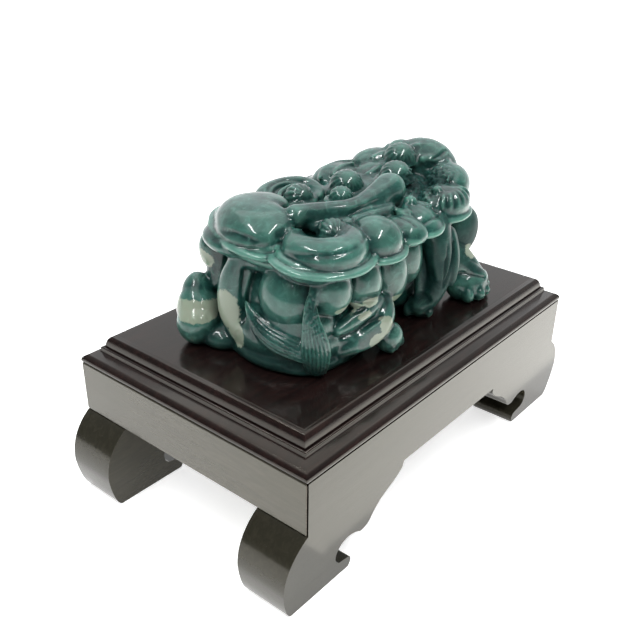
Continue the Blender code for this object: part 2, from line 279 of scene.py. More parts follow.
@dataclass(frozen=True)
class JadeFinish:
    """Polished blue-green jade with ragged cream patches, painted light on its thin lips and crests, and
    painted shade in its hollows and shaded patches.
    """

    deep: Colour = (0.005, 0.024, 0.022)
    body: Colour = (0.016, 0.077, 0.064)
    pale: Colour = (0.095, 0.24, 0.19)
    cream: Colour = (0.235, 0.275, 0.21)
    scatter: float = 0.35
    scatter_depth: Triple = (0.5, 1.1, 0.85)
    scatter_reach: float = 1.6
    speck: Colour = (0.35, 0.42, 0.34)
    rough: float = 0.32
    shine: float = 0.12
    coat: float = 0.75
    coat_rough: float = 0.05

    def material(self) -> bpy.types.Material:
        """Build the stone's material.

        Returns:
            The material, for the carving's mesh with its painted marks.
        """
        board = NodeBoard("polished_jade")
        clouds = board.noise(0.11, 4.0, 0.55, 0.6)
        flecks = board.noise(0.75, 3.0, 0.6)
        grains = board.noise(3.2, 2.0, 0.6)
        wisps = board.noise(0.3, 5.0, 0.62, 1.6)
        share = (clouds.step(0.34, 0.66) * 0.7 + flecks.step(0.35, 0.7) * 0.3)
        stone = board.blend(self.deep, self.body, share)
        stone = board.blend(stone, self.pale, wisps.step(0.5, 0.72) * 0.34)
        # Painted light: lips lightened as if lit through the thin stone, and crests lightened as a painted
        # highlight.
        painted_edge_light = board.mark("lip") * 0.85 + board.mark("painted_crest_highlight") * 0.6
        stone = board.blend(stone, self.pale, painted_edge_light.least(1.0) * (0.5 + wisps * 0.6))
        # Painted shade: concave hollows and the shaded patches are darkened toward the deep colour.
        painted_hollow_shade, painted_shade = board.mark("painted_hollow_shade"), board.mark("painted_shade")
        stone = board.blend(stone, self.deep, (painted_hollow_shade * 0.9 + painted_shade * 0.85).least(1.0))
        ragged = board.mark("cream") + (flecks - 0.5) * 0.26 + (grains - 0.5) * 0.05
        cream = board.blend(self.cream, self.pale, clouds.step(0.5, 0.8) * 0.35)
        stone = board.blend(stone, cream, ragged.step(0.46, 0.54))
        stone = board.blend(stone, self.speck, grains.step(0.66, 0.8) * 0.12)
        scars = board.noise(1.4, 5.0, 0.65)
        relief = board.bump(scars * 0.7 + grains * 0.3, 0.05, 0.35)
        # Where shade is painted, the surface is also rougher and its coat weaker, dulling reflections
        # there.
        rough = self.rough + scars.step(0.45, 0.75) * 0.06 + painted_hollow_shade * 0.15 + painted_shade * 0.2
        coat = self.coat - (painted_shade * 0.7 + painted_hollow_shade * 0.3).least(0.7)
        return board.finish({
            "Base Color": stone, "Roughness": rough, "Normal": relief, "IOR": 1.5,
            "Specular IOR Level": self.shine, "Subsurface Weight": self.scatter,
            "Subsurface Scale": MM * self.scatter_reach, "Subsurface Radius": self.scatter_depth,
            "Coat Weight": coat, "Coat Roughness": self.coat_rough,
        })


@dataclass(frozen=True)
class LacquerFinish:
    """Dark lacquer over red-brown hardwood, with its grain, rubbed edges and fine scratches."""

    name: str
    ground: Colour = (0.008, 0.0055, 0.005)
    grain: Colour = (0.018, 0.011, 0.009)
    rubbed: Colour = (0.085, 0.055, 0.038)
    grain_run: Triple = (0.12, 1.0, 1.0)
    sheen: Colour = (1.0, 0.95, 0.80)
    shine: float = 0.36
    gloss: float = 0.18
    coat: float = 0.15
    coat_rough: float = 0.1
    dust_tone: Colour = (0.3, 0.28, 0.25)

    def material(self) -> bpy.types.Material:
        """Build the lacquer's material.

        Returns:
            The material, for wood whose rubbed edges are painted on its points.
        """
        board = NodeBoard(self.name)
        grain = board.noise(0.9, 5.0, 0.62, 0.8, self.grain_run)
        pores = board.noise(6.0, 2.0, 0.6, 0.0, self.grain_run)
        cloud = board.noise(0.05, 3.0, 0.5, 0.4)
        dust = board.noise(2.6, 2.0, 0.5)
        wood = board.blend(self.ground, self.grain, grain.step(0.38, 0.72) * (0.35 + cloud * 0.7))
        wear = (board.mark("edge") * (0.4 + dust * 1.2)).step(0.55, 0.95)
        wood = board.blend(wood, self.rubbed, wear * 0.8)
        wood = board.blend(wood, self.dust_tone, dust.step(0.74, 0.8) * 0.25)
        film = board.noise(0.45, 3.0, 0.55, 0.2, self.grain_run)
        relief = board.bump(film * 0.75 + pores * 0.15 + dust * 0.1, 0.06, 0.5)
        rough = self.gloss * (0.8 + cloud * 0.4) + pores.step(0.5, 0.8) * 0.05 + wear * 0.15
        return board.finish({
            "Base Color": wood, "Roughness": rough, "Normal": relief, "IOR": 1.5,
            "Specular IOR Level": self.shine, "Specular Tint": self.sheen,
            "Coat Weight": self.coat, "Coat Roughness": self.coat_rough, "Coat IOR": 1.5,
        })


@dataclass(frozen=True)
class TableFinish:
    """The plain pale table under the stand."""

    colour: Colour = (0.88, 0.88, 0.87)
    cloud: Colour = (0.86, 0.86, 0.86)
    rough: float = 0.7
    glow: float = 0.8

    def material(self) -> bpy.types.Material:
        """Build the table's material.

        Returns:
            The material.
        """
        board = NodeBoard("pale_table")
        tint = board.blend(self.colour, self.cloud, board.noise(0.01).step(0.4, 0.6))
        return board.finish({
            "Base Color": tint, "Roughness": self.rough, "Emission Color": tint,
            "Emission Strength": self.glow,
        })


# Mesh tools


def link(name: str, mesh: bpy.types.Mesh, finish: bpy.types.Material | None = None) -> bpy.types.Object:
    """Put a mesh in the scene as a named object.

    Args:
        name: the object's name.
        mesh: its mesh.
        finish: its material, if it has one.

    Returns:
        The object.
    """
    thing = bpy.data.objects.new(name, mesh)
    bpy.context.scene.collection.objects.link(thing)
    if finish:
        mesh.materials.clear()
        mesh.materials.append(finish)
    return thing


def bake(thing: bpy.types.Object) -> None:
    """Put the result of an object's modifiers into its mesh.

    Args:
        thing: the object.
    """
    graph = bpy.context.evaluated_depsgraph_get()
    graph.update()
    baked = bpy.data.meshes.new_from_object(thing.evaluated_get(graph))
    thing.modifiers.clear()
    thing.data = baked


def ease_between(values: np.ndarray, low: float, high: float) -> np.ndarray:
    """Smooth step of an array from 0 at low to 1 at high.

    Args:
        values: the numbers.
        low: where the step starts.
        high: where it ends.

    Returns:
        Numbers between 0 and 1.
    """
    share = np.clip((values - low) / (high - low), 0, 1)
    return share * share * (3 - 2 * share)


def smooth_path(rows: Sequence[Sequence[float]], closed: bool, steps: int) -> np.ndarray:
    """Follow a cubic B-spline.

    Args:
        rows: control points, with as many columns as wanted.
        closed: whether the curve runs back into its start.
        steps: points for each control point.

    Returns:
        The points along the curve.
    """
    control = np.array(rows, float)
    count = len(control)
    degree = min(3, count - 1)
    if closed:
        control = np.vstack([control, control[:degree]])
        knots = np.arange(len(control) + degree + 1, dtype=float)
        at = np.linspace(degree, degree + count, count * steps, endpoint=False)
    else:
        knots = np.concatenate([np.zeros(degree), np.linspace(0, 1, count - degree + 1), np.ones(degree)])
        at = np.minimum(np.linspace(0, 1, (count - 1) * steps + 1), 1 - 1e-9)
    at = at[:, None]
    basis = ((knots[:-1] <= at) & (at < knots[1:])).astype(float)
    for order in range(1, degree + 1):
        span = len(knots) - order - 1
        low, high = knots[:span], knots[order + 1:order + 1 + span]
        rise = np.maximum(knots[order:order + span] - low, 1e-12)
        fall = np.maximum(high - knots[1:1 + span], 1e-12)
        basis = (at - low) / rise * basis[:, :span] + (high - at) / fall * basis[:, 1:span + 1]
    return basis @ control


def unit(rows: np.ndarray) -> np.ndarray:
    """Rows scaled to length one."""
    return rows / np.maximum(np.linalg.norm(rows, axis=-1, keepdims=True), 1e-9)


def oval(x: float, y: float, z: float, rx: float, ry: float, count: int = 12,
         tip: float = 0.0) -> list[Triple]:
    """Points round an oval.

    Args:
        x: middle.
        y: middle.
        z: height of its middle.
        rx: half size along X.
        ry: half size along Y.
        count: how many points.
        tip: how much its +Y edge is lifted.

    Returns:
        The points in order.
    """
    turns = [2 * pi * i / count for i in range(count)]
    return [(x + rx * cos(a), y + ry * sin(a), z + tip * sin(a)) for a in turns]


# Carved forms


@dataclass
class Flutes:
    """Ribs round a form, like the ribs of a shell."""

    axis: Triple
    count: int
    depth: float
    clear: float = 0.25

    def amount(self, form: "Lobe | Strand", points: np.ndarray) -> np.ndarray:
        """How far each point moves out.

        Args:
            form: the form that carries the ribs.
            points: its points.

        Returns:
            Distances in millimetres.
        """
        axis = Vector(self.axis).normalized()
        east = axis.orthogonal().normalized()
        north = axis.cross(east)
        away = points - np.array(form.middle())
        u, v = away @ np.array(east), away @ np.array(north)
        radius = np.hypot(u, v)
        fade = ease_between(radius / form.reach(), self.clear, self.clear + 0.35)
        ribs = np.abs(np.cos(np.arctan2(v, u) * self.count / 2)) - 0.6
        return self.depth * ribs * fade


@dataclass
class Hair:
    """Hair lines along a strand, fanning out with its width."""

    lines: int
    depth: float

    def amount(self, form: "Strand", points: np.ndarray) -> np.ndarray:
        """How far each point moves out.

        Args:
            form: the strand that carries the hair.
            points: its points.

        Returns:
            Distances in millimetres.
        """
        across, outward, along = form.spread(points)
        waves = np.abs(np.sin((across * 0.5 + 0.5) * self.lines * pi))
        fade = ease_between(along, 0.04, 0.2) * ease_between(outward, -0.35, 0.1)
        return self.depth * (np.sqrt(waves) - 0.75) * fade


class Form:
    """One rounded form of the carving."""

    tone: Tone
    relief: Any

    def shell(self) -> tuple[np.ndarray, list[tuple[int, ...]]]:
        """The form's closed surface."""
        raise NotImplementedError

    def gap(self, points: np.ndarray) -> np.ndarray:
        """How far points are from the surface, less than 0 inside."""
        raise NotImplementedError

    def middle(self) -> Triple:
        """The form's middle."""
        raise NotImplementedError

    def reach(self) -> float:
        """The form's largest half size."""
        raise NotImplementedError


@dataclass
class Lobe(Form):
    """An egg shape: its middle, its half sizes and its turns in degrees."""

    at: Triple
    half: Triple
    turns: Triple = (0.0, 0.0, 0.0)
    tone: Tone = Tone.BODY
    relief: Any = None

    def _spin(self) -> np.ndarray:
        """Turns about X, Y and Z as a matrix."""
        return np.array(Euler([radians(turn) for turn in self.turns]).to_matrix())

    def shell(self) -> tuple[np.ndarray, list[tuple[int, ...]]]:
        """The egg's surface.

        Returns:
            Its points and faces.
        """
        rings, around = 22, 44
        points = [(0.0, 0.0, -1.0)]
        for i in range(1, rings):
            lift = -pi / 2 + pi * i / rings
            for k in range(around):
                turn = 2 * pi * k / around
                points.append((cos(lift) * cos(turn), cos(lift) * sin(turn), sin(lift)))
        points.append((0.0, 0.0, 1.0))
        faces: list[tuple[int, ...]] = []
        for k in range(around):
            after = (k + 1) % around
            faces.append((0, 1 + after, 1 + k))
            top = 1 + (rings - 2) * around
            faces.append((len(points) - 1, top + k, top + after))
            for i in range(rings - 2):
                low, high = 1 + i * around, 1 + (i + 1) * around
                faces.append((low + k, low + after, high + after, high + k))
        return np.array(points) * self.half @ self._spin().T + self.at, faces

    def gap(self, points: np.ndarray) -> np.ndarray:
        """Distance from the egg.

        Args:
            points: places in millimetres.

        Returns:
            Distances, less than 0 inside.
        """
        away = points - np.array(self.at)
        share = np.maximum(np.linalg.norm(away @ self._spin() / self.half, axis=1), 1e-6)
        return (share - 1) * np.linalg.norm(away, axis=1) / share

    def middle(self) -> Triple:
        """The egg's middle."""
        return self.at

    def reach(self) -> float:
        """The egg's largest half size."""
        return max(self.half)


@dataclass
class Strand(Form):
    """A rounded strand along a smooth path, flattened toward its face."""

    path: Sequence[Triple]
    sizes: Sequence[float]
    flat: float = 1.0
    closed: bool = False
    face: Triple = UP
    tone: Tone = Tone.BODY
    relief: Any = None
    rows: np.ndarray = field(init=False, repr=False)
    frames: tuple[np.ndarray, np.ndarray, np.ndarray] = field(init=False, repr=False)

    def __post_init__(self) -> None:
        """Work out the points and directions along the strand."""
        last = len(self.sizes) - 1
        rows = [(*place, self.sizes[min(i, last)]) for i, place in enumerate(self.path)]
        self.rows = smooth_path(rows, self.closed, 8)
        places = self.rows[:, :3]
        if self.closed:
            along = unit(np.roll(places, -1, axis=0) - np.roll(places, 1, axis=0))
        else:
            along = unit(np.gradient(places, axis=0))
        side = unit(np.cross(along, np.array(self.face, float)))
        self.frames = (along, side, np.cross(side, along))

    def shell(self) -> tuple[np.ndarray, list[tuple[int, ...]]]:
        """The strand's surface, with rounded ends.

        Returns:
            Its points and faces.
        """
        around = 24
        turns = np.linspace(0, 2 * pi, around, endpoint=False)
        along, side, out = self.frames
        rings = []
        spans = [(i, 0.0, 1.0) for i in range(len(self.rows))]
        if not self.closed:
            round_off = [(sin(a), cos(a)) for a in np.linspace(1.5, 0.3, 5)]
            spans = [(0, -back, share) for back, share in round_off] + spans
            spans += [(len(self.rows) - 1, ahead, share) for ahead, share in reversed(round_off)]
        for i, shift, share in spans:
            size = self.rows[i, 3]
            ring = np.outer(np.cos(turns), side[i]) + np.outer(np.sin(turns), out[i]) * self.flat
            push = shift * size * min(1.0, self.flat + 0.2)
            rings.append(self.rows[i, :3] + ring * size * share + along[i] * push)
        count = len(rings)
        faces: list[tuple[int, ...]] = []
        for i in range(count if self.closed else count - 1):
            low, high = i * around, (i + 1) % count * around
            for k in range(around):
                after = (k + 1) % around
                faces.append((low + k, low + after, high + after, high + k))
        if not self.closed:
            faces.append(tuple(range(around))[::-1])
            faces.append(tuple((count - 1) * around + k for k in range(around)))
        return np.vstack(rings), faces

    def _nearest(self, points: np.ndarray) -> tuple[np.ndarray, np.ndarray]:
        """Find the nearest place along the strand.

        Args:
            points: places in millimetres.

        Returns:
            The nearest row for each point, and the way from it to the point.
        """
        places = self.rows[:, :3]
        apart = (points**2).sum(1)[:, None] - 2 * points @ places.T + (places**2).sum(1)
        near = apart.argmin(1)
        return near, points - places[near]

    def gap(self, points: np.ndarray) -> np.ndarray:
        """Distance from the strand.

        Args:
            points: places in millimetres.

        Returns:
            Distances, less than 0 inside.
        """
        near, away = self._nearest(points)
        along, side, out = (frame[near] for frame in self.frames)
        lead = np.abs((away * along).sum(1))
        wide, high = (away * side).sum(1), (away * out).sum(1) / self.flat
        return np.sqrt(wide**2 + high**2 + lead**2) - self.rows[near, 3]

    def spread(self, points: np.ndarray) -> tuple[np.ndarray, np.ndarray, np.ndarray]:
        """Where points lie on the strand.

        Args:
            points: places in millimetres.

        Returns:
            Shares across its width, out from its middle, and along it.
        """
        near, away = self._nearest(points)
        _, side, out = (frame[near] for frame in self.frames)
        size = self.rows[near, 3]
        across = (away * side).sum(1) / size
        outward = (away * out).sum(1) / (size * self.flat)
        return across, outward, near / (len(self.rows) - 1)

    def middle(self) -> Triple:
        """The point half way along."""
        return tuple(self.rows[len(self.rows) // 2, :3])

    def reach(self) -> float:
        """The strand's largest radius."""
        return float(self.rows[:, 3].max())


@dataclass
class Pad(Form):
    """A broad smooth cushion: its edge in order round it, the height of its top and how flat that is."""

    edge: Sequence[Triple]
    top: float
    deep: float = 3.0
    flatness: float = 2.6
    tone: Tone = Tone.BODY
    relief: Any = None
    line: np.ndarray = field(init=False, repr=False)

    def __post_init__(self) -> None:
        """Smooth the edge."""
        self.line = smooth_path(self.edge, True, 6)

    def shell(self) -> tuple[np.ndarray, list[tuple[int, ...]]]:
        """The cushion's surface.

        Returns:
            Its points and faces.
        """
        heart = np.array(self.middle())
        around = len(self.line)
        rings = []
        for share in (0.12, 0.3, 0.5, 0.68, 0.82, 0.91, 0.96, 0.99, 1.0):
            ring = heart + (self.line - heart) * share
            lift = (1 - share**self.flatness)**0.6
            ring[:, 2] = self.line[:, 2] + (self.top - self.line[:, 2]) * lift
            rings.append(ring)
        for share in (0.97, 0.85, 0.5, 0.1):
            ring = heart + (self.line - heart) * share
            ring[:, 2] = self.line[:, 2] - self.deep * (1 - share**2)**0.5
            rings.append(ring)
        faces: list[tuple[int, ...]] = []
        for i in range(len(rings) - 1):
            for k in range(around):
                after = (k + 1) % around
                low, high = i * around, (i + 1) * around
                faces.append((low + k, high + k, high + after, low + after))
        faces.append(tuple(range(around)))
        faces.append(tuple((len(rings) - 1) * around + k for k in range(around))[::-1])
        return np.vstack(rings), faces

    def gap(self, points: np.ndarray) -> np.ndarray:
        """Distance from the cushion's outside.

        Args:
            points: places in millimetres.

        Returns:
            Distances, none less than 0.
        """
        shell, _ = self.shell()
        nearest = np.full(len(points), 1e9)
        for some in np.array_split(shell, max(1, len(shell) // 60)):
            apart = (points**2).sum(1)[:, None] - 2 * points @ some.T + (some**2).sum(1)
            nearest = np.minimum(nearest, apart.min(1))
        return np.sqrt(np.maximum(nearest, 0)) * 0.5

    def middle(self) -> Triple:
        """The middle of the edge."""
        return tuple(self.line.mean(0))

    def reach(self) -> float:
        """How far the edge is from the middle."""
        return float(np.linalg.norm(self.line - self.line.mean(0), axis=1).max())


# The skin and the carver's cuts


class Skin:
    """The carving's surface while it is being worked, in millimetres."""

    def __init__(self, mesh: bpy.types.Mesh) -> None:
        """Take the points and edges of a mesh.

        Args:
            mesh: the carving's mesh, in millimetres.
        """
        self.mesh = mesh
        self.count = len(mesh.vertices)
        places = np.empty(self.count * 3, np.float32)
        mesh.vertices.foreach_get("co", places)
        self.points = places.reshape(-1, 3).astype(float)
        pairs = np.empty(len(mesh.edges) * 2, np.int32)
        mesh.edges.foreach_get("vertices", pairs)
        self.pairs = pairs.reshape(-1, 2)
        ends = self.pairs.ravel()
        self.links = np.maximum(np.bincount(ends, minlength=self.count), 1)

    def store(self) -> None:
        """Write the points back to the mesh."""
        self.mesh.vertices.foreach_set("co", self.points.astype(np.float32).ravel())
        self.mesh.update()

    def normals(self) -> np.ndarray:
        """Find the skin's outward directions.

        Returns:
            One direction for each point.
        """
        self.store()
        values = np.empty(self.count * 3, np.float32)
        self.mesh.vertex_normals.foreach_get("vector", values)
        return values.reshape(-1, 3).astype(float)

    def averages(self, points: np.ndarray) -> np.ndarray:
        """Each point's mean neighbour.

        Args:
            points: places of the skin's points.

        Returns:
            The mean place of the neighbours of each.
        """
        first, second = self.pairs.T
        means = np.empty_like(points)
        for k in range(points.shape[1]):
            sums = np.bincount(first, points[second, k], self.count)
            sums += np.bincount(second, points[first, k], self.count)
            means[:, k] = sums / self.links
        return means

    def ease(self, rounds: int, factor: float = 0.5) -> np.ndarray:
        """Smooth the points.

        Args:
            rounds: how many passes.
            factor: how far each pass goes.

        Returns:
            The smoothed points, which the skin doesn't take over by itself.
        """
        points = self.points
        for _ in range(rounds):
            points = points + factor * (self.averages(points) - points)
        return points

    def push(self, amount: np.ndarray) -> None:
        """Move the points along their normals.

        Args:
            amount: how far, in millimetres.
        """
        self.points = self.points + self.normals() * amount[:, None]

    def owners(self, forms: Sequence[Form]) -> tuple[np.ndarray, np.ndarray]:
        """Find which form each point belongs to.

        Args:
            forms: every form of the carving.

        Returns:
            The form's number for each point, and how clear it is of any other form.
        """
        best = np.full(self.count, 9.0)
        second = np.full(self.count, 9.0)
        owner = np.zeros(self.count, int)
        for number, form in enumerate(forms):
            shell, _ = form.shell()
            low, high = shell.min(0) - 1.5, shell.max(0) + 1.5
            near = np.nonzero(((self.points > low) & (self.points < high)).all(1))[0]
            if not len(near):
                continue
            gap = form.gap(self.points[near])
            wins = gap < best[near]
            second[near] = np.where(wins, best[near], np.minimum(second[near], gap))
            best[near[wins]] = gap[wins]
            owner[near[wins]] = number
        return owner, second - best

    def paint(self, name: str, values: np.ndarray) -> None:
        """Keep a value for each point for the material to read.

        Args:
            name: the mark's name.
            values: numbers between 0 and 1.
        """
        mark = self.mesh.attributes.new(name, "FLOAT", "POINT")
        mark.data.foreach_set("value", np.clip(values, 0, 1).astype(np.float32))


def pebbles(points: np.ndarray, pitch: float) -> np.ndarray:
    """Small rounded bumps packed side by side.

    Args:
        points: places in millimetres.
        pitch: distance from bump to bump.

    Returns:
        Heights between 0 and 1.
    """
    cells = np.floor(points / pitch)
    best = np.full(len(points), 9.0)
    for dx in (-1, 0, 1):
        for dy in (-1, 0, 1):
            for dz in (-1, 0, 1):
                cell = cells + (dx, dy, dz)
                seed = cell @ np.array([[127.1, 269.5, 113.5], [311.7, 183.3, 271.9], [74.7, 246.1, 124.6]])
                jitter = np.modf(np.abs(np.sin(seed) * 43758.5453))[0]
                best = np.minimum(best, np.linalg.norm(points / pitch - cell - jitter, axis=1))
    return np.clip(1 - best, 0, 1)


def swell(points: np.ndarray, pitch: float, turn: float) -> np.ndarray:
    """Gentle unevenness of handwork.

    Args:
        points: places in millimetres.
        pitch: length of its waves.
        turn: shifts the waves.

    Returns:
        Heights between about -1 and 1.
    """
    ways = np.array([[0.9, 0.3, 0.2], [-0.4, 0.8, 0.5], [0.2, -0.5, 0.9], [0.7, -0.6, -0.5]])
    phases = points @ ways.T * (2 * pi / pitch) + np.array([0.3, 1.9, 4.1, 5.2]) + turn
    return np.sin(phases + 0.8 * np.sin(phases[:, ::-1] * 0.7)).mean(1)


class Cut:
    """Something the carver does to the skin."""

    def apply(self, skin: Skin) -> None:
        """Work the skin."""
        raise NotImplementedError


@dataclass
class Groove(Cut):
    """A carved line, or a raised one where its depth is less than 0."""

    path: Sequence[Triple]
    width: float
    depth: float
    along: Triple = UP
    span: float = 3.0

    def apply(self, skin: Skin) -> None:
        """Press the line into the skin.

        Args:
            skin: the carving's skin.
        """
        line = smooth_path(self.path, False, 10)
        low, high = line.min(0) - self.span - 1, line.max(0) + self.span + 1
        near = np.nonzero(((skin.points > low) & (skin.points < high)).all(1))[0]
        along = np.array(self.along, float) / np.linalg.norm(self.along)
        points = skin.points[near]
        flat = points - np.outer(points @ along, along)
        nodes = line - np.outer(line @ along, along)
        start, run = nodes[:-1], nodes[1:] - nodes[:-1]
        length = np.maximum((run**2).sum(1), 1e-9)
        best = np.full(len(near), 1e9)
        depth_at = np.zeros(len(near))
        share_at = np.zeros(len(near))
        for i in range(len(run)):
            away = flat - start[i]
            part = np.clip(away @ run[i] / length[i], 0, 1)
            apart = ((away - part[:, None] * run[i])**2).sum(1)
            wins = apart < best
            best[wins] = apart[wins]
            level = line[i] @ along + part * ((line[i + 1] - line[i]) @ along)
            depth_at[wins] = level[wins]
            share_at[wins] = (i + part[wins]) / len(run)
        normals = skin.normals()[near]
        offset = np.abs(points @ along - depth_at)
        weight = ease_between(offset, self.span, self.span * 0.6) * ease_between(normals @ along, 0.0, 0.35)
        weight *= ease_between(share_at, 0.0, 0.12) * ease_between(share_at, 1.0, 0.88)
        amount = np.zeros(skin.count)
        amount[near] = -self.depth * np.exp(-best / self.width**2) * weight
        skin.push(amount)


@dataclass
class Dimple(Cut):
    """A shallow hollow, or a swelling where its depth is less than 0."""

    at: Triple
    radius: float
    depth: float

    def apply(self, skin: Skin) -> None:
        """Press the hollow into the skin."""
        apart = np.linalg.norm(skin.points - np.array(self.at), axis=1)
        skin.push(-self.depth * np.exp(-(apart / self.radius)**2))


@dataclass
class Facet(Cut):
    """A flat cut across a bulge."""

    at: Triple
    normal: Triple
    span: float

    def apply(self, skin: Skin) -> None:
        """Shave off what stands past the flat.

        Args:
            skin: the carving's skin.
        """
        normal = np.array(self.normal, float) / np.linalg.norm(self.normal)
        away = skin.points - np.array(self.at)
        apart = np.linalg.norm(away, axis=1)
        past = np.maximum(away @ normal, 0) * ease_between(apart, self.span, self.span * 0.7)
        skin.points = skin.points - np.outer(past * 0.9, normal)


@dataclass
class Fur(Cut):
    """Small rough bumps in a hollow."""

    at: Triple
    half: Triple
    pitch: float
    depth: float

    def apply(self, skin: Skin) -> None:
        """Rough up the skin.

        Args:
            skin: the carving's skin.
        """
        share = np.linalg.norm((skin.points - np.array(self.at)) / self.half, axis=1)
        near = np.nonzero(share < 1)[0]
        amount = np.zeros(skin.count)
        bumps = pebbles(skin.points[near], self.pitch) - 0.5
        amount[near] = self.depth * bumps * ease_between(share[near], 1.0, 0.75)
        skin.push(amount)


@dataclass(frozen=True)
class Patch:
    """A place where the stone turns cream, used also for places of painted shade."""

    at: Triple
    half: Triple

    def share(self, points: np.ndarray) -> np.ndarray:
        """How deep in the patch points are: 1 at its middle, 0.5 at its edge."""
        apart = np.linalg.norm((points - np.array(self.at)) / self.half, axis=1)
        return np.clip(1 - apart * 0.5, 0, 1)


# The carving's sub-assemblies


class Section:
    """One part of the carving: its forms, the cuts in them, its cream patches and its patches of painted
    shade.
    """

    def forms(self) -> list[Form]:
        """The rounded forms."""
        raise NotImplementedError

    def cuts(self) -> list[Cut]:
        """The carver's cuts."""
        return []

    def cream(self) -> list[Patch]:
        """Where the stone turns cream."""
        return []

    def painted_shade(self) -> list[Patch]:
        """Where shade is painted: the stone darkened in shaded places."""
        return []


@dataclass
class CrouchedBody(Section):
    """The mass that all the rest stands out of."""

    chest: float = 15.0
    haunch: float = 16.4

    def forms(self) -> list[Form]:
        """Haunch, back, chest and the ground under them.

        Returns:
            The body's forms.
        """
        foot = [(-30.6, 12.4, 0.4), (-35.3, 4.6, 0.6), (-37.2, -4.2, 0.8), (-36.2, -12.3, 0.8),
                (-33, -18.4, 0.8), (-27, -19.6, 0.6), (-20, -19.8, 0.4), (-12, -19, 0.2), (-6, -10, 0),
                (-6, 6, 0), (-16, 13, 0)]
        return [
            Lobe((-17.6, -1.5, 12), (14.6, self.haunch, 14)),
            Lobe((2, -1, 12), (22, 15.4, 15)),
            Lobe((20, -1, 14), (13, 14, 14)),
            Lobe((-8, -1, 22.4), (26, 17, 5.4)),
            Pad(foot, 9.5, 2.5, 2.0),
            Lobe((14, -1, 4), (19, self.chest, 7)),
            Lobe((13, 0, 25.4), (18, 14, 5)),
        ]

    def painted_shade(self) -> list[Patch]:
        """Painted shade at the foot of the haunch and in the hollow between the legs."""
        return [Patch((-30, -4, 0), (16, 22, 8)), Patch((2, -18, 7), (6, 8, 8))]


